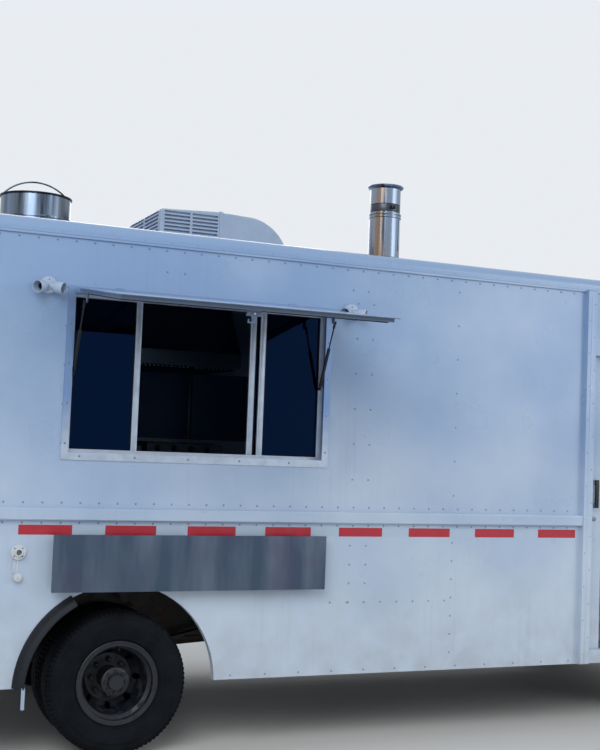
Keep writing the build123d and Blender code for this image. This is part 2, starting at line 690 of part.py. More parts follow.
# Engine cover in the cab, open to the firewall, which closes the nose off
with BuildPart() as engine_cover:
    cover = ENGINE_COVER_HALF - PANEL
    block((CAB_X + 80, FIREWALL_X), (-ENGINE_COVER_HALF, ENGINE_COVER_HALF), (FLOOR_Z, ENGINE_COVER_TOP))
    fillet(engine_cover.edges().filter_by(Axis.X).group_by(Axis.Z)[-1], 40)
    block((FIREWALL_X, FIREWALL_X + 8), (-inner, inner), (FRONT_BOX_Z - PANEL, FIREWALL_TOP))
    block((CAB_X + 80 + PANEL, FIREWALL_X + 9), (-cover, cover), (FLOOR_Z - 1, ENGINE_COVER_TOP - 40),
          mode=Mode.SUBTRACT)
finish(engine_cover, "engine_cover")

finish(wall_plate(1), "side_wall_left")

with BuildPart() as side_wall_right:
    add(wall_plate(-1).part)
    block((WINDOW_X - WINDOW_W / 2 - SLEEVE, WINDOW_X + WINDOW_W / 2 + SLEEVE),
          (-HALF_WIDTH - 1, -HALF_WIDTH + WALL + 1), (WINDOW_Z0 - SLEEVE, WINDOW_Z1 + SLEEVE),
          mode=Mode.SUBTRACT)
finish(side_wall_right, "side_wall_right")

# Roof: flat middle, curved shoulders and a rounded edge that overhangs the walls
with BuildPart() as roof:
    edge = HALF_WIDTH + ROOF_OVERHANG
    start = REAR_X - ROOF_OVERHANG
    lip = EAVES_Z + 22
    shoulder = EAVES_Z + 80
    flat = HALF_WIDTH - 480
    swell = (HALF_WIDTH - 240, CROWN_Z - 12)
    with BuildSketch(across(start)) as section:
        with BuildLine():
            Line((-edge, EAVES_Z), (edge, EAVES_Z))
            Line((edge, EAVES_Z), (edge, lip))
            ThreePointArc((edge, lip), (edge - 17, EAVES_Z + 60), (edge - 57, shoulder))
            ThreePointArc((edge - 57, shoulder), swell, (flat, CROWN_Z))
            Line((flat, CROWN_Z), (-flat, CROWN_Z))
            ThreePointArc((-flat, CROWN_Z), (-swell[0], swell[1]), (-edge + 57, shoulder))
            ThreePointArc((-edge + 57, shoulder), (-edge + 17, EAVES_Z + 60), (-edge, lip))
            Line((-edge, lip), (-edge, EAVES_Z))
        make_face()
    extrude(section.sketch, amount=ROOF_FRONT_X - start)
    with BuildSketch(upright(edge + 1)) as profile:
        with BuildLine():
            Polyline((start, lip), (start, EAVES_Z), (ROOF_FRONT_X, EAVES_Z), (ROOF_FRONT_X, lip))
            ThreePointArc((ROOF_FRONT_X, lip), (ROOF_FRONT_X - 60, CROWN_Z - 28), (ROOF_FRONT_X - 200, CROWN_Z))
            Line((ROOF_FRONT_X - 200, CROWN_Z), (start + 90, CROWN_Z))
            ThreePointArc((start + 90, CROWN_Z), (start + 26, CROWN_Z - 28), (start, lip))
        make_face()
    extrude(profile.sketch, amount=2 * edge + 2, mode=Mode.INTERSECT)
    block((REAR_X + WALL, ROOF_FRONT_X - 77), (-HALF_WIDTH + WALL, HALF_WIDTH - WALL),
          (EAVES_Z - 1, EAVES_Z + 50), mode=Mode.SUBTRACT)
finish(roof, "roof")

with BuildPart() as rear_wall:
    block((REAR_X, REAR_X + WALL), (-HALF_WIDTH, HALF_WIDTH), (600, EAVES_Z))
    block((REAR_X - 1, REAR_X + WALL + 1), (-REAR_DOOR_HALF, REAR_DOOR_HALF), (REAR_DOOR_Z0, REAR_DOOR_Z1),
          mode=Mode.SUBTRACT)
    # Fixed halves of the door hinges
    hinge_x = REAR_X - REAR_DOOR_OFF - REAR_DOOR_T / 2
    hinge_y = REAR_DOOR_HALF + REAR_DOOR_LAP + 12
    for side in (1, -1):
        for z in rear_hinge_heights():
            rod((hinge_x, side * hinge_y, z + HINGE_GAP), (hinge_x, side * hinge_y, z + REAR_HINGE_L),
                REAR_HINGE_R)
            block((hinge_x - 2, REAR_X), between(side * (hinge_y + 1), side * (hinge_y + 6)),
                  (z + HINGE_GAP, z + REAR_HINGE_L))
finish(rear_wall, "rear_wall")

# Cab front: cheeks, windshield frame, cowl and nose as one formed shell
WINDSHIELD = Plane(origin=((COWL[0] + HEADER_X) / 2, 0, (COWL[1] + EAVES_Z) / 2), x_dir=(0, 1, 0),
                   z_dir=(EAVES_Z - COWL[1], 0, COWL[0] - HEADER_X))
with BuildPart() as cab_front:
    extrude(Pos(0, HALF_WIDTH, 0) * nose_outline(0), amount=2 * HALF_WIDTH)
    pillars = [edge for edge in cab_front.faces().filter_by(Plane.XZ).edges()
               if edge.center().X > HEADER_X and SKIRT_Z + 1 < edge.center().Z < EAVES_Z - 1]
    fillet(pillars, 90)
    with BuildSketch(upright(HALF_WIDTH - WALL)) as hollow:
        add(nose_outline(200))
        offset(amount=-WALL)
    extrude(hollow.sketch, amount=2 * (HALF_WIDTH - WALL), mode=Mode.SUBTRACT)
    extrude(windshield_panes(WINDSHIELD), amount=120, both=True, mode=Mode.SUBTRACT)
    extrude(quarter_window(upright(HALF_WIDTH + 1)), amount=2 * HALF_WIDTH + 2, mode=Mode.SUBTRACT)
    with BuildSketch(upright(HALF_WIDTH + 1)) as arches:
        with Locations((WHEELBASE, ARCH_Z)):
            Circle(FRONT_ARCH_R)
    extrude(arches.sketch, amount=2 * HALF_WIDTH + 2, mode=Mode.SUBTRACT)
    rounded_window(across(NOSE_X), (0, (GRILLE_Z0 + GRILLE_Z1) / 2), GRILLE_W, GRILLE_Z1 - GRILLE_Z0, 40, 90)
    for side in (1, -1):
        rod((NOSE_X - 80, side * HEADLAMP_Y, HEADLAMP_Z), (NOSE_X + 10, side * HEADLAMP_Y, HEADLAMP_Z),
            HEADLAMP_R, mode=Mode.SUBTRACT)
    block((NOSE_X - 205, NOSE_X + 20), (-HALF_WIDTH - 1, HALF_WIDTH + 1), (SKIRT_Z - 1, NOSE_LIP_Z),
          mode=Mode.SUBTRACT)
finish(cab_front, "cab_front")

with BuildPart() as fixed_glass:
    extrude(windshield_panes(WINDSHIELD.offset(-WALL / 2)), amount=GLASS_T)
    for side in (1, -1):
        extrude(quarter_window(upright(side * (HALF_WIDTH - WALL / 2) + GLASS_T / 2)), amount=GLASS_T)
    # Panes of the serving window: fixed outer halves in front, sliders behind
    for centre, y, rear_bar, front_bar in SASHES:
        block((centre - SASH_W / 2 + rear_bar, centre + SASH_W / 2 - front_bar), (y - 2, y + 2),
              (WINDOW_Z0 + SASH_RAIL, WINDOW_Z1 - SASH_RAIL))
finish(fixed_glass, "fixed_glass")

# Grille: an outer frame that carries its slats and three uprights behind them
with BuildPart() as grille:
    depth = (NOSE_X - 60, NOSE_X - 10)
    inside = GRILLE_W / 2 - GRILLE_BAR
    low, high = GRILLE_Z0 + GRILLE_BAR, GRILLE_Z1 - GRILLE_BAR
    block(depth, (-GRILLE_W / 2 + 1, GRILLE_W / 2 - 1), (GRILLE_Z0 + 1, GRILLE_Z1 - 1))
    fillet(grille.edges().filter_by(Axis.X), 39)
    block((depth[0] - 1, depth[1] + 1), (-inside, inside), (low, high), mode=Mode.SUBTRACT)
    for count in range(1, SLATS + 1):
        z = low + count * (high - low) / (SLATS + 1)
        block((depth[0] + 10, depth[1] - 6), (-inside - 1, inside + 1), (z - 8, z + 8))
    for y in (-GRILLE_W / 4, 0, GRILLE_W / 4):
        block((depth[0], depth[0] + 12), (y - 6, y + 6), (low - 1, high + 1))
finish(grille, "grille")

with BuildPart() as headlamps:
    for side in (1, -1):
        lamp_y = side * HEADLAMP_Y
        rod((NOSE_X - 70, lamp_y, HEADLAMP_Z), (NOSE_X - 2, lamp_y, HEADLAMP_Z), HEADLAMP_R - 1)
        with BuildSketch(across(NOSE_X + 1)) as bezel:
            with Locations((lamp_y, HEADLAMP_Z)):
                Circle(HEADLAMP_R + 16)
                Circle(HEADLAMP_R - 10, mode=Mode.SUBTRACT)
        extrude(bezel.sketch, amount=12)
        rod((NOSE_X - 2, lamp_y, HEADLAMP_Z), (NOSE_X + 4, lamp_y, HEADLAMP_Z), HEADLAMP_R - 8)
finish(headlamps, "headlamps")

# Clearance lamps over the windshield and the rear doors, tail and reversing lamps behind
with BuildPart() as signal_lamps:
    for y in (-HALF_WIDTH + 230, -130, 0, 130, HALF_WIDTH - 230):
        block((ROOF_FRONT_X, ROOF_FRONT_X + 18), (y - 45, y + 45), (EAVES_Z + 2, EAVES_Z + 20))
        block((REAR_X - 16, REAR_X), (y - 45, y + 45), (EAVES_Z - 80, EAVES_Z - 50))
    for y, radius, depth in ((HALF_WIDTH - 220, 55, 32), (HALF_WIDTH - 350, 50, 26)):
        for side in (1, -1):
            rod((REAR_X, side * y, 680), (REAR_X - depth, side * y, 680), radius)
finish(signal_lamps, "signal_lamps")

with BuildPart() as bumpers:
    bar_y = HALF_WIDTH - 180
    end_y = HALF_WIDTH - 30
    with BuildSketch(Plane.XY.offset(BUMPER_Z)) as front_bar:
        with BuildLine():
            Polyline((BUMPER_X, -bar_y), (BUMPER_X, bar_y), (BUMPER_X - 60, end_y), (BUMPER_X - 68, end_y - 3),
                     (BUMPER_X - 10, bar_y - 5), (BUMPER_X - 10, -bar_y + 5), (BUMPER_X - 68, -end_y + 3),
                     (BUMPER_X - 60, -end_y), close=True)
        make_face()
    extrude(front_bar.sketch, amount=BUMPER_H)
    for z in (BUMPER_Z, BUMPER_Z + BUMPER_H - BUMPER_T):
        block((BUMPER_X - 45, BUMPER_X - 5), (-bar_y + 10, bar_y - 10), (z, z + BUMPER_T))
    for side in (1, -1):
        block((NOSE_X - 70, BUMPER_X - 8), between(side * RAIL_Y, side * RAIL_FACE),
              (RAIL_Z0 + 2, RAIL_Z0 + 28))
    # Rear step bumper: a deep channel with its open side forward
    step_y = HALF_WIDTH - 60
    step_top = REAR_BUMPER_Z + REAR_BUMPER_H
    block((REAR_BUMPER_X, REAR_BUMPER_X + BUMPER_T), (-step_y, step_y), (REAR_BUMPER_Z, step_top))
    for z in (REAR_BUMPER_Z, step_top - BUMPER_T):
        block((REAR_BUMPER_X, REAR_BUMPER_X + 112), (-step_y, step_y), (z, z + BUMPER_T))
    for side in (1, -1):
        block((REAR_BUMPER_X + 4, REAR_X + WALL + 5), between(side * (RAIL_Y + 5), side * RAIL_FACE),
              (RAIL_Z0 + 2, step_top - 4))
        with Locations(Plane(origin=(REAR_BUMPER_X, side * PLATE_HOLES / 2, REAR_BUMPER_Z + 55),
                             z_dir=(1, 0, 0))):
            Cylinder(PLATE_HOLE_R, 30, mode=Mode.SUBTRACT)
finish(bumpers, "bumpers")

# Rub rails along both sides and the raised posts beside the cab doors
with BuildPart() as body_trim:
    for side in (1, -1):
        face = side * HALF_WIDTH
        block((REAR_X, POST_X), between(face, face + side * RUB_T), (RUB_Z0, RUB_Z1))
        block((POST_X, POST_X + POST_W), between(face, face + side * POST_T), (SKIRT_Z, EAVES_Z - 4))
    fillet([edge for edge in body_trim.edges().filter_by(Axis.X) if abs(edge.center().Y) > HALF_WIDTH + 1], 8)
finish(body_trim, "body_trim")

# Serving window: riveted trim, a sleeve through the wall, four sashes and the flap's fixed hinge halves
with BuildPart() as service_window_frame:
    half = WINDOW_W / 2
    face = -HALF_WIDTH
    depth = (face - TRIM_T, SLEEVE_Y)
    block((WINDOW_X - half - TRIM_W, WINDOW_X + half + TRIM_W), (face - TRIM_T, face),
          (WINDOW_Z0 - TRIM_W, WINDOW_Z1 + TRIM_W))
    block((WINDOW_X - half - SLEEVE, WINDOW_X + half + SLEEVE), depth, (WINDOW_Z0 - SLEEVE, WINDOW_Z1 + SLEEVE))
    block((WINDOW_X - half, WINDOW_X + half), (depth[0] - 1, depth[1] + 1), (WINDOW_Z0, WINDOW_Z1),
          mode=Mode.SUBTRACT)
    for centre, y, rear_bar, front_bar in SASHES:
        block((centre - SASH_W / 2, centre + SASH_W / 2), (y - 7, y + 7), (WINDOW_Z0, WINDOW_Z1))
        block((centre - SASH_W / 2 + rear_bar, centre + SASH_W / 2 - front_bar), (y - 8, y + 8),
              (WINDOW_Z0 + SASH_RAIL, WINDOW_Z1 - SASH_RAIL), mode=Mode.SUBTRACT)
    # Sill and head tracks join the sashes to the sleeve
    for z in (WINDOW_Z0, WINDOW_Z1 - 12):
        block((WINDOW_X - half, WINDOW_X + half), (OUTER_TRACK - 7, SLEEVE_Y - 1), (z, z + 12))
    for x in HINGES:
        fixed = (x - HINGE_HALF, x - HINGE_GAP)
        rod((fixed[0], FLAP_AXIS_Y, FLAP_AXIS_Z), (fixed[1], FLAP_AXIS_Y, FLAP_AXIS_Z), HINGE_R)
        block(fixed, (FLAP_AXIS_Y + 2, face), (FLAP_AXIS_Z - 3, FLAP_AXIS_Z + 3))
        block(fixed, (face - 4, face), (FLAP_AXIS_Z - 3, FLAP_AXIS_Z + 30))
    for side in (1, -1):
        rod((WINDOW_X + side * (STRUT_X + 6 + HINGE_GAP), *STRUT_LOW), (WINDOW_X + side * half, *STRUT_LOW), 6)
finish(service_window_frame, "service_window_frame")

# Flap: a thin skin on an inset frame with ribs, open on its underside
FLAP = Plane(origin=(WINDOW_X, FLAP_AXIS_Y, FLAP_AXIS_Z), x_dir=(1, 0, 0),
             z_dir=(0, -sin(radians(FLAP_SLOPE)), cos(radians(FLAP_SLOPE))))
with BuildPart() as serving_hatch:
    inset = 22
    frame_l = FLAP_L - FLAP_START - inset
    with BuildSketch(FLAP.offset(FLAP_T / 2 - FLAP_SKIN)) as skin:
        with Locations((0, -(FLAP_START + FLAP_L) / 2)):
            Rectangle(FLAP_W, FLAP_L - FLAP_START)
    extrude(skin.sketch, amount=FLAP_SKIN)
    bay_w = (FLAP_W - 2 * inset - 5 * FLAP_RIB) / 4
    with BuildSketch(FLAP.offset(-FLAP_T / 2)) as ribs:
        with Locations((0, -FLAP_START - frame_l / 2)):
            Rectangle(FLAP_W - 2 * inset, frame_l)
            with GridLocations(bay_w + FLAP_RIB, 0, 4, 1):
                Rectangle(bay_w, frame_l - 2 * FLAP_RIB, mode=Mode.SUBTRACT)
    extrude(ribs.sketch, amount=FLAP_T - FLAP_SKIN)
    for x in HINGES:
        rod((x, FLAP_AXIS_Y, FLAP_AXIS_Z), (x + HINGE_HALF, FLAP_AXIS_Y, FLAP_AXIS_Z), HINGE_R)
        with BuildSketch(FLAP.offset(-3)) as leafs:
            with Locations((x + HINGE_HALF / 2 - WINDOW_X, -(FLAP_START + 2) / 2 - 1)):
                Rectangle(HINGE_HALF, FLAP_START)
        extrude(leafs.sketch, amount=6)
    # Strut brackets hang below the side rims and end in a stud beside each strut's eye
    for side in (1, -1):
        stud = WINDOW_X + side * (STRUT_X - 6 - HINGE_GAP)
        rod((stud, *STRUT_HIGH), (stud - side * 8, *STRUT_HIGH), 6)
        with BuildSketch(Plane(origin=(stud - side * 6, 0, 0), x_dir=(0, 1, 0), z_dir=(1, 0, 0))) as ear:
            with BuildLine():
                Polyline(*[(STRUT_HIGH[0] + y, STRUT_HIGH[1] + z) for y, z in STRUT_EAR], close=True)
            make_face()
        extrude(ear.sketch, amount=3, both=True)
    # Latch under the rim's outer edge: a plate and a hook that turns to the rear
    hook = ((-40, -1), (40, -1), (40, 29), (14, 29), (14, 64), (-30, 64), (-30, 44), (-24, 44), (-24, 56),
            (-2, 56), (-2, 29), (-40, 29))
    latch_plane = Plane(origin=FLAP.from_local_coords((0, -LATCH_REACH, 0)), x_dir=FLAP.x_dir, z_dir=FLAP.y_dir)
    with BuildSketch(latch_plane) as latch:
        with BuildLine():
            Polyline(*[(LATCH_X + x, FLAP_T / 2 + down) for x, down in hook], close=True)
        make_face()
    extrude(latch.sketch, amount=4)
finish(serving_hatch, "serving_hatch")

strut_path = Vector(0, STRUT_HIGH[0] - STRUT_LOW[0], STRUT_HIGH[1] - STRUT_LOW[1])
strut_dir = strut_path.normalized()
with BuildPart() as strut_tubes:
    for side in (1, -1):
        x = WINDOW_X + side * STRUT_X
        low = Vector(x, *STRUT_LOW)
        rod((x - 6, *STRUT_LOW), (x + 6, *STRUT_LOW), STRUT_EYE_R + 0.5)
        rod(low, low + strut_dir * 22, 5)
        rod(low + strut_dir * 16, low + strut_dir * STRUT_TUBE_L, STRUT_TUBE_R)
        rod(low + strut_dir * 30, low + strut_dir * (STRUT_TUBE_L + 1), STRUT_ROD_R + 0.5, mode=Mode.SUBTRACT)
finish(strut_tubes, "strut_tubes")

with BuildPart() as strut_rods:
    for side in (1, -1):
        x = WINDOW_X + side * STRUT_X
        low = Vector(x, *STRUT_LOW)
        high = Vector(x, *STRUT_HIGH)
        rod((x - 6, *STRUT_HIGH), (x + 6, *STRUT_HIGH), STRUT_EYE_R)
        rod(low + strut_dir * (STRUT_TUBE_L - 60), high, STRUT_ROD_R)
finish(strut_rods, "strut_rods")

# Shelf: a folded stainless tray that hangs on three hinges
with BuildPart() as shelf:
    bottom = SHELF_TOP - SHELF_DROP
    face = SHELF_BACK_Y - SHELF_T
    block((SHELF_X0, SHELF_X1), (face, SHELF_BACK_Y), (bottom, SHELF_TOP))
    block((SHELF_X0 + SHEET, SHELF_X1 - SHEET), (face + SHEET, SHELF_BACK_Y + 1),
          (bottom + SHEET, SHELF_TOP - SHEET), mode=Mode.SUBTRACT)
    # Its edges are hemmed inward at the back
    for z in (bottom, SHELF_TOP - 18):
        block((SHELF_X0, SHELF_X1), (SHELF_BACK_Y - SHEET, SHELF_BACK_Y), (z, z + 18))
    for x in SHELF_HINGES:
        rod((x, SHELF_AXIS_Y, SHELF_AXIS_Z), (x + 40, SHELF_AXIS_Y, SHELF_AXIS_Z), HINGE_R)
        block((x, x + 40), (SHELF_BACK_Y - 1, SHELF_AXIS_Y), (SHELF_AXIS_Z - 6, SHELF_AXIS_Z))
finish(shelf, "shelf")

with BuildPart() as shelf_brackets:
    for x in SHELF_HINGES:
        fixed = (x - 40, x - HINGE_GAP)
        rod((fixed[0], SHELF_AXIS_Y, SHELF_AXIS_Z), (fixed[1], SHELF_AXIS_Y, SHELF_AXIS_Z), HINGE_R)
        block(fixed, (SHELF_AXIS_Y, -HALF_WIDTH), (SHELF_AXIS_Z - 3, SHELF_AXIS_Z + 3))
        block(fixed, (-HALF_WIDTH - 5, -HALF_WIDTH), (SHELF_AXIS_Z - 90, SHELF_AXIS_Z + 3))
finish(shelf_brackets, "shelf_brackets")

# Roof cooler: an upright louvred rear half, a raised rib and a shroud that rolls down in front
with BuildPart() as air_conditioner:
    x0, x1 = COOLER_X, COOLER_X + COOLER_L
    top = CROWN_Z + COOLER_H
    rib_x = x0 + 392
    half = COOLER_W / 2
    with BuildSketch(upright(half)) as side_view:
        with BuildLine():
            Polyline((x1, CROWN_Z), (x0, CROWN_Z), (x0, top - 36))
            ThreePointArc((x0, top - 36), (x0 + 6, top - 24), (x0 + 18, top - 18))
            Line((x0 + 18, top - 18), (x0 + 379, top))
            Line((x0 + 379, top), (x1 - 260, top - 10))
            ThreePointArc((x1 - 260, top - 10), (x1 - 117, top - 61), (x1 - 17, top - 178))
            Line((x1 - 17, top - 178), (x1, CROWN_Z))
        make_face()
    extrude(side_view.sketch, amount=COOLER_W)
    shell_sides = air_conditioner.faces().filter_by(Plane.XZ)
    fillet([edge for edge in shell_sides.edges() if edge.center().Z > CROWN_Z + 1], 14)
    with BuildSketch(across(rib_x)) as rib:
        with Locations((0, CROWN_Z + (COOLER_H + 4) / 2)):
            Rectangle(COOLER_W + 10, COOLER_H + 4)
        fillet(rib.vertices().group_by(Axis.Y)[-1], 16)
    extrude(rib.sketch, amount=20)
    slot_low = top - 42 - (LOUVRE_ROWS - 1) * LOUVRE_PITCH
    for row in range(LOUVRE_ROWS):
        z = (slot_low + row * LOUVRE_PITCH, slot_low + row * LOUVRE_PITCH + LOUVRE_H)
        for side in (1, -1):
            for run in ((x0 + 30, x0 + 196), (x0 + 212, x0 + 380)):
                block(run, between(side * (half - 14), side * (half + 1)), z, mode=Mode.SUBTRACT)
            block((x0 - 1, x0 + 14), between(side * 10, side * (half - 36)), z, mode=Mode.SUBTRACT)
finish(air_conditioner, "air_conditioner")

# Exhaust fan: a curb, a drum with rolled edges round the motor's dome, and a hoop over it
with BuildPart() as exhaust_fan:
    floor_z = CROWN_Z + 110
    dome_top = CROWN_Z + 190
    with BuildSketch(Plane(origin=(FAN_X, FAN_Y, 0), x_dir=(1, 0, 0), z_dir=(0, -1, 0))) as section:
        with BuildLine():
            Polyline((0, CROWN_Z), (FAN_R + 60, CROWN_Z), (FAN_R + 60, CROWN_Z + 6), (FAN_R + 8, CROWN_Z + 24),
                     (FAN_R + 2, CROWN_Z + 40), (FAN_R + 2, FAN_BASE - 12), (FAN_R + 10, FAN_BASE - 10),
                     (FAN_R + 10, FAN_BASE), (FAN_R, FAN_BASE + 2), (FAN_R, FAN_TOP - 12),
                     (FAN_R + 6, FAN_TOP - 10), (FAN_R + 6, FAN_TOP), (FAN_R - 6, FAN_TOP),
                     (FAN_R - 6, floor_z), (70, floor_z), (66, dome_top - 24), (44, dome_top - 6),
                     (0, dome_top), close=True)
        make_face()
    revolve(section.sketch, axis=Axis((FAN_X, FAN_Y, 0), (0, 0, 1)))
    with BuildLine() as hoop:
        ThreePointArc((FAN_X - FAN_R + 3, FAN_Y, FAN_TOP - 6), (FAN_X, FAN_Y, FAN_TOP + 92),
                      (FAN_X + FAN_R - 3, FAN_Y, FAN_TOP - 6))
    with BuildSketch(Plane(origin=hoop.line @ 0, z_dir=hoop.line % 0)) as wire:
        Circle(5)
    sweep(wire.sketch, path=hoop.line)
finish(exhaust_fan, "exhaust_fan")

# Vent stack: a flashing, the pipe with a double bead, a necked joint, a collar and a conical cap
with BuildPart() as vent_stack:
    joint = STACK_TOP - 194
    brim = STACK_TOP - 30
    with BuildSketch(Plane(origin=(STACK_X, STACK_Y, 0), x_dir=(1, 0, 0), z_dir=(0, -1, 0))) as section:
        with BuildLine():
            Polyline((STACK_R - 4, CROWN_Z), (STACK_R + 70, CROWN_Z), (STACK_R + 70, CROWN_Z + 4),
                     (STACK_R + 6, CROWN_Z + 40), (STACK_R, CROWN_Z + 44), (STACK_R, joint - 40),
                     (STACK_R + 5, joint - 37), (STACK_R + 5, joint - 29), (STACK_R, joint - 26),
                     (STACK_R, joint - 20), (STACK_R + 5, joint - 17), (STACK_R + 5, joint - 9),
                     (STACK_R, joint - 6), (STACK_R - 1, joint), (STACK_R - 8, joint + 3),
                     (STACK_R - 8, joint + 48), (STACK_R - 2, joint + 52), (STACK_R - 2, brim - 14),
                     (STACK_R + 14, brim - 3), (STACK_R + 17, brim + 4), (STACK_R + 14, brim + 9),
                     (20, STACK_TOP), (0, STACK_TOP), (0, STACK_TOP - 5), (STACK_R - 10, brim),
                     (STACK_R - 6, brim - 10), (STACK_R - 6, joint + 52), (STACK_R - 12, joint + 50),
                     (STACK_R - 12, joint), (STACK_R - 4, joint - 8), close=True)
        make_face()
    revolve(section.sketch, axis=Axis((STACK_X, STACK_Y, 0), (0, 0, 1)))
finish(vent_stack, "vent_stack")

# Floodlights: a round box with two empty lamp cups each
with BuildPart() as floodlights:
    for x in (WINDOW_X - FLOOD_X, WINDOW_X + FLOOD_X):
        face = -HALF_WIDTH
        rod((x, face, FLOOD_Z), (x, face - 36, FLOOD_Z), 46)
        for turn in (-1, 1):
            start = Vector(x, face - 26, FLOOD_Z)
            axis = Vector(turn * 0.62, -0.62, -0.48).normalized()
            rod(start, start + axis * 50, 14)
            rod(start + axis * 40, start + axis * 104, 33)
            rod(start + axis * 52, start + axis * 106, 29, mode=Mode.SUBTRACT)
finish(floodlights, "floodlights")

# Water inlet: a flange with its bore, and its cap hanging on a strap
with BuildPart() as water_inlet:
    face = -HALF_WIDTH
    rod((INLET_X, face, INLET_Z), (INLET_X, face - 14, INLET_Z), 38)
    rod((INLET_X, face - 14, INLET_Z), (INLET_X, face - 34, INLET_Z), 20)
    rod((INLET_X, face - 4, INLET_Z), (INLET_X, face - 35, INLET_Z), INLET_R, mode=Mode.SUBTRACT)
    block((INLET_X - 4, INLET_X + 4), (face - 4, face), (INLET_Z - 120, INLET_Z - 30))
    rod((INLET_X, face, INLET_Z - 128), (INLET_X, face - 22, INLET_Z - 128), 23)
finish(water_inlet, "water_inlet")

# Arch flares; the right rear one is broken off past its rear part, where its edging hangs loose
with BuildPart() as fender_flares:
    for side in (1, -1):
        flare(WHEELBASE, FRONT_ARCH_R, side, -87, 87)
    flare(REAR_ARCH_X, REAR_ARCH_R, 1, -88, 88)
    flare(REAR_ARCH_X, REAR_ARCH_R, -1, -88, -29)
    edging_x = REAR_ARCH_X - REAR_ARCH_R + 38
    block((edging_x - 8, edging_x + 8), (-HALF_WIDTH - 49, -HALF_WIDTH - 44), (ARCH_Z - 82, ARCH_Z + 26))
finish(fender_flares, "fender_flares")

with BuildPart() as mirrors:
    for side in (1, -1):
        foot_y, head_y = side * HALF_WIDTH, side * (MIRROR_REACH - MIRROR_W / 2)
        low, high = COWL[1] + 30, DOOR_Z1 - 83
        for z in (low, high):
            rod((MIRROR_X - 300, foot_y + side * 11, z), (MIRROR_X, head_y, z), 9)
            block((MIRROR_X - 330, MIRROR_X - 270), between(foot_y, foot_y + side * 14), (z - 35, z + 35))
        rod((MIRROR_X, head_y, low - 15), (MIRROR_X, head_y, high + 15), 10)
        with BuildSketch(across(MIRROR_X + 4)) as head:
            with Locations((head_y, (low + high) / 2 + 50)):
                RectangleRounded(MIRROR_W, 380, 40)
        extrude(head.sketch, amount=34)
finish(mirrors, "mirrors")

with BuildPart() as driver_seat:
    seat_x, seat_y, seat_z = ENGINE_X - 430, 550, FLOOR_Z + 275
    block((seat_x - 100, seat_x + 50), (seat_y - 80, seat_y + 80), (FLOOR_Z, seat_z))
    with BuildSketch(Plane.XY.offset(seat_z)) as cushion:
        with Locations((seat_x, seat_y)):
            RectangleRounded(460, 460, 60)
    extrude(cushion.sketch, amount=120)
    with BuildSketch(across(seat_x - 260)) as backrest:
        with Locations((seat_y, seat_z + 410)):
            RectangleRounded(440, 660, 70)
    extrude(backrest.sketch, amount=110)
    fillet(driver_seat.faces().sort_by(Axis.X)[0].edges(), 20)
finish(driver_seat, "driver_seat")

with BuildPart() as dashboard:
    reach = HALF_WIDTH - 80
    shelf_z = FIREWALL_TOP + 40
    with BuildSketch(upright(reach)) as side_view:
        with BuildLine():
            Polyline((FIREWALL_X - 260, shelf_z - 180), (FIREWALL_X - 260, shelf_z - 100),
                     (FIREWALL_X - 170, shelf_z), (FIREWALL_X, shelf_z), (FIREWALL_X, shelf_z - 180),
                     close=True)
        make_face()
    extrude(side_view.sketch, amount=2 * reach)
finish(dashboard, "dashboard")

with BuildPart() as steering_wheel:
    hub = Vector(ENGINE_X + 120, seat_y, FLOOR_Z + 675)
    axis = Vector(-0.6, 0, 0.8)
    with Locations(Plane(origin=hub, x_dir=(0, 1, 0), z_dir=axis)):
        Torus(215, 15)
        Cylinder(45, 40)
        with PolarLocations(110, 3):
            Box(220, 26, 12)
    rod(hub, hub - axis * 815, 24)
    foot = hub - axis * 825
    block((foot.X - 50, foot.X + 50), (foot.Y - 40, foot.Y + 40), (FLOOR_Z, FLOOR_Z + 40))
finish(steering_wheel, "steering_wheel")

# Kitchen units along both sides, with the hood over the left run
with BuildPart() as kitchen_units:
    inner = HALF_WIDTH - WALL
    aisle_edge = inner - KITCHEN_DEPTH
    for unit, x0, x1, side, top in KITCHEN:
        block((x0, x1), between(side * inner, side * aisle_edge), (FLOOR_Z, top))
        block((x0 + 30, x1 - 30), between(side * (aisle_edge + 60), side * (aisle_edge - 1)),
              (FLOOR_Z + 110, top - 60), mode=Mode.SUBTRACT)
    for side in (1, -1):
        block(REAR_BOX_X, between(side * (aisle_edge - 1), side * (inner + 1)), (FLOOR_Z - 1, WHEEL_BOX_Z),
              mode=Mode.SUBTRACT)
    with BuildSketch(across(HOOD_X)) as hood:
        with BuildLine():
            Polyline((inner, HOOD_Z), (inner - HOOD_DEPTH, HOOD_Z), (inner - HOOD_DEPTH, HOOD_Z + 100),
                     (inner - HOOD_DEPTH / 2, EAVES_Z + 50), (inner, EAVES_Z), close=True)
        make_face()
    extrude(hood.sketch, amount=HOOD_L)
finish(kitchen_units, "kitchen_units")

for side, name in ((1, "left"), (-1, "right")):
    door, pane = cab_door(side, LEFT_DOOR_OPEN if side > 0 else RIGHT_DOOR_OPEN)
    finish(door, f"cab_door_{name}")
    finish(pane, f"cab_door_glass_{name}")
    leaf, pane = rear_door(side)
    finish(leaf, f"rear_door_{name}")
    finish(pane, f"rear_door_glass_{name}")
    finish(knuckle(side), f"knuckle_{name}")
    wheel, rubber = front_wheel(side)
    finish(wheel, f"front_rim_{name}")
    finish(rubber, f"front_tyre_{name}")
    wheels, rubber = rear_wheels(side)
    finish(wheels, f"rear_rims_{name}")
    finish(rubber, f"rear_tyres_{name}")
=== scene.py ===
import sys

import json
import math
from collections import namedtuple

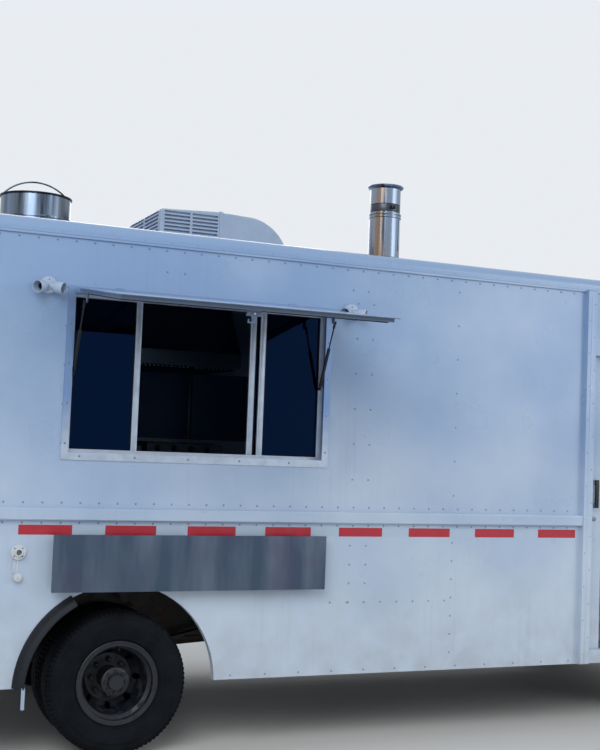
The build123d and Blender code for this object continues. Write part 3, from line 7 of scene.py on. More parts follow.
import bpy
from mathutils import Matrix, Vector
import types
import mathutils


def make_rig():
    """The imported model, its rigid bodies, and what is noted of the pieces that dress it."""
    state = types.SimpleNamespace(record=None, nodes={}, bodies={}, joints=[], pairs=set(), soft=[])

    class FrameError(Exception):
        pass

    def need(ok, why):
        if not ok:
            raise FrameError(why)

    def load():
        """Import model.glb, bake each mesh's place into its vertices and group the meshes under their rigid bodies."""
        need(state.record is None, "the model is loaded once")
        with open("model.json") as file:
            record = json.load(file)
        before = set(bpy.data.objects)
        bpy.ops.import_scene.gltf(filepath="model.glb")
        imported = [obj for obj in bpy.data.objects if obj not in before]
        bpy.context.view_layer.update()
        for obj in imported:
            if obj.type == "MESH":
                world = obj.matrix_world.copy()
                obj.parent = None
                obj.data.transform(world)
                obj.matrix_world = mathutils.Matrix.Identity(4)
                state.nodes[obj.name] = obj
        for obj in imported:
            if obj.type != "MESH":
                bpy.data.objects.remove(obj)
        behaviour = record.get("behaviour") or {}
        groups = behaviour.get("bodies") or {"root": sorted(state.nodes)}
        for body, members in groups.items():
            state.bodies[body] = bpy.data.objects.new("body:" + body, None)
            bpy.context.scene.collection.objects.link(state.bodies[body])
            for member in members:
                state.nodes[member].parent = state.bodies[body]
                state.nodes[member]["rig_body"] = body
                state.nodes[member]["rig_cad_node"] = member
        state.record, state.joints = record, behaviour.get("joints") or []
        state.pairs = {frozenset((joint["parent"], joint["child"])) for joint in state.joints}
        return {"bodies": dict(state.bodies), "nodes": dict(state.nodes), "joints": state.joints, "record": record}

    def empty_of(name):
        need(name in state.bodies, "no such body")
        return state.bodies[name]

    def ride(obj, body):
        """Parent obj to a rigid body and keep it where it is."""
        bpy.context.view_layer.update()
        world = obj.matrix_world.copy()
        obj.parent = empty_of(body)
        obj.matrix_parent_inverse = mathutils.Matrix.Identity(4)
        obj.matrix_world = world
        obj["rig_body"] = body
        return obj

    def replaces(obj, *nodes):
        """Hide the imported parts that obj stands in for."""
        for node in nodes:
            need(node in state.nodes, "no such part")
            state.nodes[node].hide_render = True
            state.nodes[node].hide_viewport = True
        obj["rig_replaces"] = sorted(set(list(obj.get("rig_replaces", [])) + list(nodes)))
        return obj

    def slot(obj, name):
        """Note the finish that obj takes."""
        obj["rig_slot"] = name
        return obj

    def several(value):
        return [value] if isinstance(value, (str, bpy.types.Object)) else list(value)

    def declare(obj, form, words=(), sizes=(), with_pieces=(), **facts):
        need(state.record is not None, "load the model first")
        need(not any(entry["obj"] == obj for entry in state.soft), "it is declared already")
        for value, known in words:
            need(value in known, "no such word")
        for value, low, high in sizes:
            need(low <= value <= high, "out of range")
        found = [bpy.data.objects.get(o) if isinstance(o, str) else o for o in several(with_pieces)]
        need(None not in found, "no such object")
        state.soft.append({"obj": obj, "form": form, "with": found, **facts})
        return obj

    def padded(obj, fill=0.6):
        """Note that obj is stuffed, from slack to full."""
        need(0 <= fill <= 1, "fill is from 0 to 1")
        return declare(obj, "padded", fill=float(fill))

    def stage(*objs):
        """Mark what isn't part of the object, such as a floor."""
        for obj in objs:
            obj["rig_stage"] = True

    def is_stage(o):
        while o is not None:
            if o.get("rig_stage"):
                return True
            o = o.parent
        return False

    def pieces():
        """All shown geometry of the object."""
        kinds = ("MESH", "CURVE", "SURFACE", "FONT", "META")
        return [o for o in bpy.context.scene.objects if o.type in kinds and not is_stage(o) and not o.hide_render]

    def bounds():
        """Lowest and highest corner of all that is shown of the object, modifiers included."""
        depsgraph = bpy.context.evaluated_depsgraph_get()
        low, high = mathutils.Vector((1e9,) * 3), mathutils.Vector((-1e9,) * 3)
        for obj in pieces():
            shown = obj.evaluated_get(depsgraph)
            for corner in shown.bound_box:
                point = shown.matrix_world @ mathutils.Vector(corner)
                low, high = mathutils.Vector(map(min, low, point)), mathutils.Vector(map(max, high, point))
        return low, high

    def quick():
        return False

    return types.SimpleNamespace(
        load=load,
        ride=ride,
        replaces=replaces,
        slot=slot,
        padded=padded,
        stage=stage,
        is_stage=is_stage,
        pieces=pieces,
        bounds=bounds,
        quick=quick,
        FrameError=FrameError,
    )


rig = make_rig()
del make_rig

bl_info = {
    "name": "Food truck looks",
    "version": (1, 0, 0),
    "blender": (4, 5, 0),
    "location": "View3D > Sidebar > Food truck",
    "description": "Dresses the packed food truck with its finishes and small parts",
    "category": "Object",
}

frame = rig.load()
NODES = frame["nodes"]

# Sizes below are the truck's own millimetres: x from the rear axle forward, y from the
# centreline to the left, z from the ground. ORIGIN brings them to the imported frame.
MM = 0.001
ORIGIN = Vector((-1.7225, 0.315141, 0))

HALF_WIDTH = 1180
REAR_X = -1390
POST_X = 2941
POST_T = 34
EAVES_Z = 2747
SKIRT_TOP = 400
CROWN_Z = 2870
NOSE_X = 4905
AXLE_Z = 382
WHEELBASE = 4190
WINDOW = {"x0": -340, "x1": 1122, "z0": 1604, "z1": 2441}
WINDOW_X = 391
WINDOW_TRIM_Y = -1165
GALLEY_FRONT = 3000
SIDES = {"right": -1, "left": 1}


def at(x, y, z):
    """A point of the truck, given in its millimetres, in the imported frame's metres."""
    return Vector((x, y, z)) * MM + ORIGIN


def per(size):
    """A texture's scale for one repeat in that many millimetres."""
    return 1 / (size * MM)


def linear(colour):
    """An sRGB hex colour as the linear RGBA that shaders take."""
    channels = [int(colour[i:i + 2], 16) / 255 for i in (1, 3, 5)]
    return (*[c / 12.92 if c <= 0.04045 else ((c + 0.055) / 1.055) ** 2.4 for c in channels], 1)


# Modelling helpers: each works as the same tool does by hand

ALONG = 0.9  # a normal or an edge runs along a direction if its share of it is at least this
WELD = 0.00005  # points nearer than this, in metres, are one


def deselect():
    """Object mode with nothing selected."""
    if bpy.context.object and bpy.context.object.mode != "OBJECT":
        bpy.ops.object.mode_set(mode="OBJECT")
    bpy.ops.object.select_all(action="DESELECT")


def settle(name):
    """The new primitive gets its name, and its place goes into its mesh."""
    bpy.ops.object.transform_apply(location=True, rotation=True, scale=True)
    bpy.context.object.name = name
    return bpy.context.object


def new_block(name, x, y, z, edge=0, segments=2):
    """A cube stretched over three ranges, its edges rounded if they are given a width."""
    deselect()
    low = at(min(x), min(y), min(z))
    high = at(max(x), max(y), max(z))
    bpy.ops.mesh.primitive_cube_add(size=1, location=(low + high) / 2)
    bpy.context.object.scale = high - low
    block = settle(name)
    return soften(block, edge, segments) if edge else block


def new_rod(name, start, end, radius, sides=24):
    """A cylinder between two points."""
    deselect()
    a, b = at(*start), at(*end)
    turn = (b - a).to_track_quat("Z", "Y").to_euler()
    bpy.ops.mesh.primitive_cylinder_add(vertices=sides, radius=radius * MM, depth=(b - a).length,
                                        location=(a + b) / 2, rotation=turn)
    return settle(name)


def select_nothing(mesh):
    """Clears the choice of each vertex, edge and face."""
    for group in (mesh.vertices, mesh.edges, mesh.polygons):
        for item in group:
            item.select = False


def edit_all():
    """Edit mode with the whole of the active piece selected by its vertices."""
    bpy.context.tool_settings.mesh_select_mode = (True, False, False)
    bpy.ops.object.mode_set(mode="EDIT")
    bpy.ops.mesh.select_all(action="SELECT")


def choose(piece):
    """Makes one piece the only chosen one, and the active one."""
    deselect()
    piece.select_set(True)
    bpy.context.view_layer.objects.active = piece


def pick(piece, test, kind="FACE"):
    """Edit mode with the faces or edges selected whose middle, in millimetres, and normal pass the test."""
    choose(piece)
    bpy.context.tool_settings.mesh_select_mode = (False, kind == "EDGE", kind == "FACE")
    mesh = piece.data
    select_nothing(mesh)
    if kind == "FACE":
        for face in mesh.polygons:
            face.select = bool(test((face.center - ORIGIN) / MM, face.normal))
    else:
        for edge in mesh.edges:
            a, b = [mesh.vertices[i].co for i in edge.vertices]
            edge.select = bool(test(((a + b) / 2 - ORIGIN) / MM, (b - a).normalized()))
    bpy.ops.object.mode_set(mode="EDIT")


def everything(middle, normal):
    """The test that picks a whole piece."""
    return True


def extrude(offset):
    """Extrudes what is selected by an offset in millimetres."""
    bpy.ops.mesh.extrude_region_move(TRANSFORM_OT_translate={"value": Vector(offset) * MM})


def inset(thickness, depth=0):
    """Insets the selected faces, and sinks or lifts them."""
    bpy.ops.mesh.inset(thickness=thickness * MM, depth=depth * MM)


def done():
    """Back to object mode."""
    bpy.ops.object.mode_set(mode="OBJECT")


def pressed(piece, facing, rim, move):
    """Presses the faces that look one way, inside a rim, by a move in millimetres."""
    pick(piece, lambda middle, normal: normal.dot(Vector(facing)) > ALONG)
    inset(rim)
    extrude(move)
    done()
    return piece


def modify(piece, kind, **settings):
    """Adds a modifier with its settings and applies it."""
    choose(piece)
    modifier = piece.modifiers.new(kind, kind)
    for key, value in settings.items():
        setattr(modifier, key, value)
    bpy.ops.object.modifier_apply(modifier=modifier.name)
    return piece


def soften(piece, width, segments=2, angle=32):
    """Rounds every hard edge by a width in millimetres and shades the piece smooth."""
    modify(piece, "BEVEL", width=width * MM, segments=segments, limit_method="ANGLE",
           angle_limit=math.radians(angle))
    bpy.ops.object.shade_smooth_by_angle(angle=math.radians(38))
    return piece


def row(piece, step, count):
    """Repeats a piece along a line, count times, a step in millimetres apart."""
    return modify(piece, "ARRAY", use_relative_offset=False, use_constant_offset=True,
                  constant_offset_displace=Vector(step) * MM, count=count)


def copy_of(piece, offset=(0, 0, 0), name=None):
    """A copy with its own mesh, moved by an offset in millimetres."""
    choose(piece)
    bpy.ops.object.duplicate()
    copy = bpy.context.object
    copy.location = Vector(offset) * MM
    return settle(name or piece.name)


def joined(name, pieces):
    """Several pieces as one object."""
    deselect()
    for piece in pieces:
        piece.select_set(True)
    bpy.context.view_layer.objects.active = pieces[0]
    if len(pieces) > 1:
        bpy.ops.object.join()
    pieces[0].name = name
    return pieces[0]


def lathe(name, centre, axis, profile, steps=48):
    """Spins a profile about an axis through centre. Profile points are (along the axis, radius)."""
    deselect()
    middle = at(*centre)
    axis = Vector(axis).normalized()
    out = axis.orthogonal().normalized()
    points = [middle + (axis * along + out * radius) * MM for along, radius in profile]
    bpy.ops.mesh.primitive_plane_add(size=0.001, location=points[0])
    settle(name)
    edit_all()
    bpy.ops.mesh.merge(type="CENTER")
    for before, after in zip(points, points[1:]):
        bpy.ops.mesh.extrude_region_move(TRANSFORM_OT_translate={"value": after - before})
    bpy.ops.mesh.select_all(action="SELECT")
    bpy.ops.mesh.spin(steps=steps, angle=math.tau, center=middle, axis=axis)
    bpy.ops.mesh.select_all(action="SELECT")
    bpy.ops.mesh.remove_doubles(threshold=WELD)
    bpy.ops.mesh.normals_make_consistent(inside=False)
    done()
    piece = bpy.context.object
    bpy.ops.object.shade_smooth_by_angle(angle=math.radians(35))
    return piece


def wire(name, points, radius):
    """A round wire or hose bent smoothly through points, made a mesh."""
    deselect()
    bpy.ops.curve.primitive_nurbs_path_add(location=(0, 0, 0))
    curve = bpy.context.object.data
    curve.splines.clear()
    spline = curve.splines.new("NURBS")
    spline.points.add(len(points) - 1)
    for point, place in zip(spline.points, points):
        point.co = (*at(*place), 1)
    spline.order_u = 3
    spline.use_endpoint_u = True
    curve.dimensions = "3D"
    curve.bevel_depth = radius * MM
    curve.bevel_resolution = 2
    curve.resolution_u = 6
    curve.use_fill_caps = True
    bpy.ops.object.convert(target="MESH")
    return settle(name)


def ride(piece, material, body="root", slot=None, replaces=()):
    """Gives a finished piece its material, its body and its slot in the record."""
    piece.data.materials.clear()
    piece.data.materials.append(MATERIALS[material])
    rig.ride(piece, body)
    if slot:
        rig.slot(piece, slot)
    if replaces:
        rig.replaces(piece, *replaces)
    return piece


def fitted(name, parts, *settings, **more):
    """Joins parts as one piece, which rides as its settings say."""
    return ride(joined(name, parts), *settings, **more)


# Materials

MIX_A, MIX_B = 6, 7  # the colour sockets of a Mix node


def node(tree, kind, inputs=None, **settings):
    """Adds a node, sets its properties, and sets or links its input sockets."""
    made = tree.nodes.new(kind)
    for key, value in settings.items():
        setattr(made, key, value)
    for key, value in (inputs or {}).items():
        if isinstance(value, bpy.types.NodeSocket):
            tree.links.new(value, made.inputs[key])
        else:
            made.inputs[key].default_value = value
    return made


SOCKETS = {"ior": "IOR", "specular_ior_level": "Specular IOR Level"}


def begin(name, **sockets):
    """A material with its Principled shader, the sockets set, and the object's coordinates."""
    material = bpy.data.materials.new(name)
    material.use_nodes = True
    tree = material.node_tree
    shader = tree.nodes["Principled BSDF"]
    for key, value in sockets.items():
        shader.inputs[SOCKETS.get(key, key.replace("_", " ").title())].default_value = value
    place = node(tree, "ShaderNodeTexCoord").outputs["Object"]
    return material, tree, shader, place


def noise(tree, place, size, stretch=(1, 1, 1), detail=2.0, low=0.0, high=1.0, to_low=0.0, to_high=1.0):
    """Noise of a real size in millimetres, longer along stretched axes, with its contrast set."""
    vector = node(tree, "ShaderNodeMapping", {"Vector": place, "Scale": [1 / s for s in stretch]}).outputs[0]
    cloud = node(tree, "ShaderNodeTexNoise", {"Vector": vector, "Scale": per(size), "Detail": detail})
    return node(tree, "ShaderNodeMapRange", {"Value": cloud.outputs[0], "From Min": low, "From Max": high,
                                             "To Min": to_low, "To Max": to_high}).outputs[0]


def mixed(tree, factor, a, b):
    """Two colours, or colour sockets, mixed by a factor."""
    inputs = {0: factor, MIX_A: a if isinstance(a, bpy.types.NodeSocket) else linear(a),
              MIX_B: b if isinstance(b, bpy.types.NodeSocket) else linear(b)}
    return node(tree, "ShaderNodeMix", inputs, data_type="RGBA").outputs[2]


def times(tree, a, b, operation="MULTIPLY"):
    """A number made of two, clamped from 0 to 1."""
    return node(tree, "ShaderNodeMath", {0: a, 1: b}, operation=operation, use_clamp=True).outputs[0]


def height(tree, place, top, bottom):
    """1 at the bottom height and 0 at the top one, in millimetres from the ground."""
    z = node(tree, "ShaderNodeSeparateXYZ", {0: place}).outputs["Z"]
    return node(tree, "ShaderNodeMapRange",
                {"Value": z, "From Min": top * MM, "From Max": bottom * MM}).outputs[0]


def relief(tree, shader, *layers):
    """Bumps the surface: each layer is (height socket, strength, depth in millimetres)."""
    normal = None
    for value, strength, depth in layers:
        inputs = {"Height": value, "Strength": strength, "Distance": depth * MM}
        if normal:
            inputs["Normal"] = normal
        normal = node(tree, "ShaderNodeBump", inputs).outputs[0]
    tree.links.new(normal, shader.inputs["Normal"])


def fleet_paint(name, colour, low, dust="#7E7A72", grime=0.3):
    """Two-pack enamel spray-painted on aluminium sheet: glossy, with orange peel; the sheet is faintly wavy.

    Its colour is painted light and shade: darker and bluer high up as painted shade, paler toward the skirts as
    painted light, in soft clouds of painted light and shade. Dust runs down it and gathers near the skirts.
    """
    material, tree, shader, place = begin(name, ior=1.5, coat_weight=0.35, coat_roughness=0.12)
    # Painted light and shade: soft clouds over a fade from painted shade high up to painted light toward the skirts
    cloud = noise(tree, place, 750, detail=4, low=0.3, high=0.7, to_low=-0.22, to_high=0.3)
    fade = times(tree, height(tree, place, 2350, 500), cloud, "ADD")
    runs = noise(tree, place, 26, stretch=(1, 1, 26), detail=3, low=0.55, high=0.8, to_high=0.3)
    runs = times(tree, runs, noise(tree, place, 900, low=0.4, high=0.62))
    spray = noise(tree, place, 130, detail=6, low=0.3, high=0.68)
    spray = times(tree, spray, height(tree, place, 1050, 350))
    # The upper colour is white paint tinted blue as painted shade; the lower one is painted light
    tone = mixed(tree, fade, colour, low)
    tone = mixed(tree, times(tree, runs, 0.5), tone, dust)
    tone = mixed(tree, times(tree, spray, grime), tone, dust)
    tree.links.new(tone, shader.inputs["Base Color"])
    rough = noise(tree, place, 240, detail=5, low=0.3, high=0.75, to_low=0.24, to_high=0.42)
    tree.links.new(times(tree, rough, times(tree, spray, 0.4), "ADD"), shader.inputs["Roughness"])
    relief(tree, shader, (noise(tree, place, 520, detail=1), 0.35, 6.0), (noise(tree, place, 5), 0.05, 0.4))
    return material


def sheet_metal(name, colour, size, stretch, rough=(0.22, 0.38), depth=0.05, stain="#6F6D68", stains=0.25):
    """Bare metal with the fine lines of its brush, mill roll or die; oxide dulls it in patches."""
    material, tree, shader, place = begin(name, metallic=1.0)
    lines = noise(tree, place, size, stretch=stretch, detail=3)
    patch = noise(tree, place, 160, detail=5, low=0.45, high=0.75, to_high=stains)
    tone = mixed(tree, noise(tree, place, size * 3, stretch=stretch, low=0.3, high=0.7, to_high=0.3),
                 colour, stain)
    tree.links.new(mixed(tree, patch, tone, stain), shader.inputs["Base Color"])
    worn = noise(tree, place, size * 2, stretch=stretch, detail=4, low=0.3, high=0.7, to_low=rough[0],
                 to_high=rough[1])
    tree.links.new(times(tree, worn, times(tree, patch, 0.3), "ADD"), shader.inputs["Roughness"])
    relief(tree, shader, (lines, 0.25, depth))
    return material


def smeared_sheet(name, colour, pale, dark):
    """Stainless sheet ground with fine upright lines, its dark blue-grey tone painted shade; what it mirrors is
    painted in as soft upright bars of a paler tone, a painted reflection.
    """
    material, tree, shader, place = begin(name, metallic=1.0)
    # Painted reflection: soft upright bars of the paler tone
    bars = noise(tree, place, 150, stretch=(1, 1, 6), detail=4, low=0.38, high=0.68)
    lines = noise(tree, place, 7, stretch=(1, 1, 60), detail=3)
    patch = noise(tree, place, 320, detail=2, low=0.52, high=0.72, to_high=0.45)
    tone = mixed(tree, times(tree, bars, 0.5), colour, pale)
    tone = mixed(tree, times(tree, lines, 0.12), tone, dark)
    tree.links.new(mixed(tree, patch, tone, "#594F69"), shader.inputs["Base Color"])
    tree.links.new(noise(tree, place, 9, stretch=(1, 1, 40), detail=3, to_low=0.24, to_high=0.46),
                   shader.inputs["Roughness"])
    relief(tree, shader, (lines, 0.12, 0.1))
    return material


def drum_metal(name, colour, dark, tan):
    """Bright-rolled stainless bent to a drum, smoked in places; its upright bands of bright and dark are painted
    reflection.
    """
    material, tree, shader, place = begin(name, metallic=1.0)
    # Painted reflection: upright bands of the dark tone
    bands = noise(tree, place, 55, stretch=(1, 1, 30), detail=3, low=0.4, high=0.6)
    smoke = noise(tree, place, 95, stretch=(1, 1, 14), detail=4, low=0.48, high=0.62)
    tone = mixed(tree, times(tree, smoke, 0.8), mixed(tree, bands, colour, dark), tan)
    tree.links.new(tone, shader.inputs["Base Color"])
    tree.links.new(noise(tree, place, 40, stretch=(1, 1, 8), detail=4, to_low=0.08, to_high=0.34),
                   shader.inputs["Roughness"])
    relief(tree, shader, (noise(tree, place, 70, stretch=(1, 1, 3)), 0.3, 1.5))
    return material


def window_metal(name, colour, high):
    """Extruded aluminium gone dull. Outside the wall, above the sill, the trim takes a darker blue as painted shade;
    near the sill its paler tone is painted light.
    """
    material, tree, shader, place = begin(name, metallic=0.75)
    grain = noise(tree, place, 60, stretch=(1, 1, 1), detail=5, low=0.4, high=0.7, to_high=0.3)
    y = node(tree, "ShaderNodeSeparateXYZ", {0: place}).outputs["Y"]
    outside = node(tree, "ShaderNodeMath", {0: y, 1: at(0, WINDOW_TRIM_Y, 0).y},
                   operation="LESS_THAN").outputs[0]
    # Painted shade on the trim outside the wall, giving way to painted light near the sill
    sprayed = times(tree, outside, height(tree, place, 1620, 1900))
    tone = mixed(tree, sprayed, colour, high)
    tree.links.new(mixed(tree, grain, tone, "#77859A"), shader.inputs["Base Color"])
    tree.links.new(noise(tree, place, 40, detail=4, to_low=0.35, to_high=0.55), shader.inputs["Roughness"])
    relief(tree, shader, (noise(tree, place, 3, detail=2), 0.15, 0.05))
    return material


def flap_sheet(name, colour, under):
    """Painted sheet above, mill sheet below; the underside's dark navy is painted shade, mottled darker in patches."""
    material, tree, shader, place = begin(name, coat_weight=0.2)
    normal = tree.nodes["Texture Coordinate"].outputs["Normal"]
    z = node(tree, "ShaderNodeSeparateXYZ", {0: normal}).outputs["Z"]
    # Faces that look down take painted shade
    below = node(tree, "ShaderNodeMapRange", {"Value": z, "From Min": 0.2, "From Max": -0.3}).outputs[0]
    soot = noise(tree, place, 120, detail=5, low=0.35, high=0.7)
    shade = mixed(tree, times(tree, soot, 0.5), under, "#101A2A")
    tree.links.new(mixed(tree, below, mixed(tree, times(tree, soot, 0.15), colour, "#7E7A72"), shade),
                   shader.inputs["Base Color"])
    tree.links.new(noise(tree, place, 90, detail=4, to_low=0.35, to_high=0.6), shader.inputs["Roughness"])
    relief(tree, shader, (noise(tree, place, 400, detail=1), 0.3, 3.0))
    return material


def rubber(name, colour, dust, amount=0.5, grain=6, rough=0.75, shine=0.3):
    """Vulcanised rubber: dull and black, greyed by bloom, with road dust caught in its grain."""
    material, tree, shader, place = begin(name, roughness=rough, specular_ior_level=shine)
    bloom = noise(tree, place, 90, detail=6, low=0.3, high=0.75)
    specks = noise(tree, place, grain, detail=4, low=0.42, high=0.7)
    tone = mixed(tree, times(tree, bloom, amount), colour, dust)
    tree.links.new(mixed(tree, times(tree, specks, amount * 0.4), tone, dust), shader.inputs["Base Color"])
    relief(tree, shader, (specks, 0.3, 0.5))
    return material


def plastic(name, colour, rough=0.45, grain=2.5, depth=0.15, dust="#77746C", amount=0.15):
    """Moulded plastic with the fine grain of its mould and a little dust in it."""
    material, tree, shader, place = begin(name, ior=1.46)
    film = noise(tree, place, 60, detail=5, low=0.4, high=0.75, to_high=amount)
    tree.links.new(mixed(tree, film, colour, dust), shader.inputs["Base Color"])
    tree.links.new(noise(tree, place, 30, detail=4, to_low=rough - 0.08, to_high=rough + 0.12),
                   shader.inputs["Roughness"])
    relief(tree, shader, (noise(tree, place, grain, detail=3), 0.25, depth))
    return material


def chassis_enamel(name, colour="#15161A", rust="#5A3320", amount=0.45, road="#3A362F"):
    """Brushed-on black chassis enamel over steel, with rust at its bare spots and a coat of road dirt."""
    material, tree, shader, place = begin(name)
    spots = noise(tree, place, 45, detail=8, low=0.5, high=0.66)
    dirt = noise(tree, place, 180, detail=5, low=0.3, high=0.7, to_high=0.5)
    tone = mixed(tree, dirt, colour, road)
    tree.links.new(mixed(tree, times(tree, spots, amount), tone, rust), shader.inputs["Base Color"])
    tree.links.new(times(tree, times(tree, spots, 0.4), 0.48, "ADD"), shader.inputs["Roughness"])
    relief(tree, shader, (spots, 0.3, 0.6), (noise(tree, place, 8, detail=4), 0.15, 0.4))
    return material


def glazing(name, tint, galley=None, clear=0.9, dust=0.03, shine="#3E7BD8"):
    """Float glass with a body tint: its coating mirrors blue, and a film of dust dulls its shine in places.

    Panes behind the cab take a near-black navy tint: painted shade of the unlit galley behind them.
    """
    material, tree, shader, place = begin(name, ior=1.52, transmission_weight=clear,
                                          specular_tint=linear(shine))
    film = noise(tree, place, 120, detail=6, low=0.4, high=0.8, to_high=dust)
    body = tint
    if galley:
        # Painted shade: the panes behind the cab turn near-black navy
        x = node(tree, "ShaderNodeSeparateXYZ", {0: place}).outputs["X"]
        rear = node(tree, "ShaderNodeMath", {0: x, 1: at(GALLEY_FRONT, 0, 0).x},
                    operation="LESS_THAN").outputs[0]
        body = mixed(tree, rear, tint, galley)
    tree.links.new(mixed(tree, film, body, "#4A5560"), shader.inputs["Base Color"])
    tree.links.new(times(tree, film, 0.02, "ADD"), shader.inputs["Roughness"])
    return material


def lamp_lens(name, colour, ribs=9, through=0.5):
    """Moulded acrylic lens: coloured through, glossy, with fine vertical flutes inside."""
    material, tree, shader, place = begin(name, ior=1.49, transmission_weight=through, roughness=0.12)
    shader.inputs["Base Color"].default_value = linear(colour)
    flutes = node(tree, "ShaderNodeTexWave", {"Vector": place, "Scale": per(ribs) / math.tau},
                  bands_direction="Y")
    relief(tree, shader, (flutes.outputs[1], 0.5, 0.8))
    return material


def reflective_tape(name, colour, deep):
    """Prismatic marking tape: a clear skin over tiny cells, each set at its own angle to the light."""
    material, tree, shader, place = begin(name, coat_weight=0.25, coat_roughness=0.1, roughness=0.45)
    cells = node(tree, "ShaderNodeTexVoronoi", {"Vector": place, "Scale": per(4)})
    shade = node(tree, "ShaderNodeMapRange", {"Value": cells.outputs[0], "From Max": 0.5,
                                              "To Max": 0.35}).outputs[0]
    film = noise(tree, place, 70, detail=5, low=0.45, high=0.8, to_high=0.08)
    tone = mixed(tree, shade, colour, deep)
    tree.links.new(mixed(tree, film, tone, "#8A7F7A"), shader.inputs["Base Color"])
    relief(tree, shader, (cells.outputs[0], 0.2, 0.2))
    return material


def upholstery(name, colour):
    """Calendered vinyl: a soft sheen over an embossed leather grain of about 3 mm."""
    material, tree, shader, place = begin(name, roughness=0.5, sheen_weight=0.15)
    grain = node(tree, "ShaderNodeTexVoronoi", {"Vector": place, "Scale": per(3)},
                 feature="DISTANCE_TO_EDGE").outputs[0]
    worn = noise(tree, place, 120, detail=4, low=0.4, high=0.75, to_high=0.35)
    tree.links.new(mixed(tree, worn, colour, "#4A4744"), shader.inputs["Base Color"])
    relief(tree, shader, (grain, 0.35, 0.5))
    return material


def tread_plate(name):
    """Rolled aluminium tread plate: raised lozenges 28 mm apart, their slant in turn, scuffed bright."""
    material, tree, shader, place = begin(name, metallic=1.0)
    turned = node(tree, "ShaderNodeMapping",
                  {"Vector": place, "Rotation": (0, 0, math.radians(45))}).outputs[0]
    bars = node(tree, "ShaderNodeTexBrick", {"Vector": turned, "Scale": per(56), "Color1": (1, 1, 1, 1),
                                             "Color2": (1, 1, 1, 1), "Mortar": (0, 0, 0, 1),
                                             "Mortar Size": 0.09, "Mortar Smooth": 0.6}).outputs[0]
    dirt = noise(tree, place, 90, detail=6, low=0.35, high=0.7, to_high=0.6)
    tree.links.new(mixed(tree, dirt, "#9DA0A3", "#4C4943"), shader.inputs["Base Color"])
    tree.links.new(times(tree, dirt, 0.3, "ADD"), shader.inputs["Roughness"])
    relief(tree, shader, (bars, 0.6, 1.2))
    return material


MATERIALS = {}


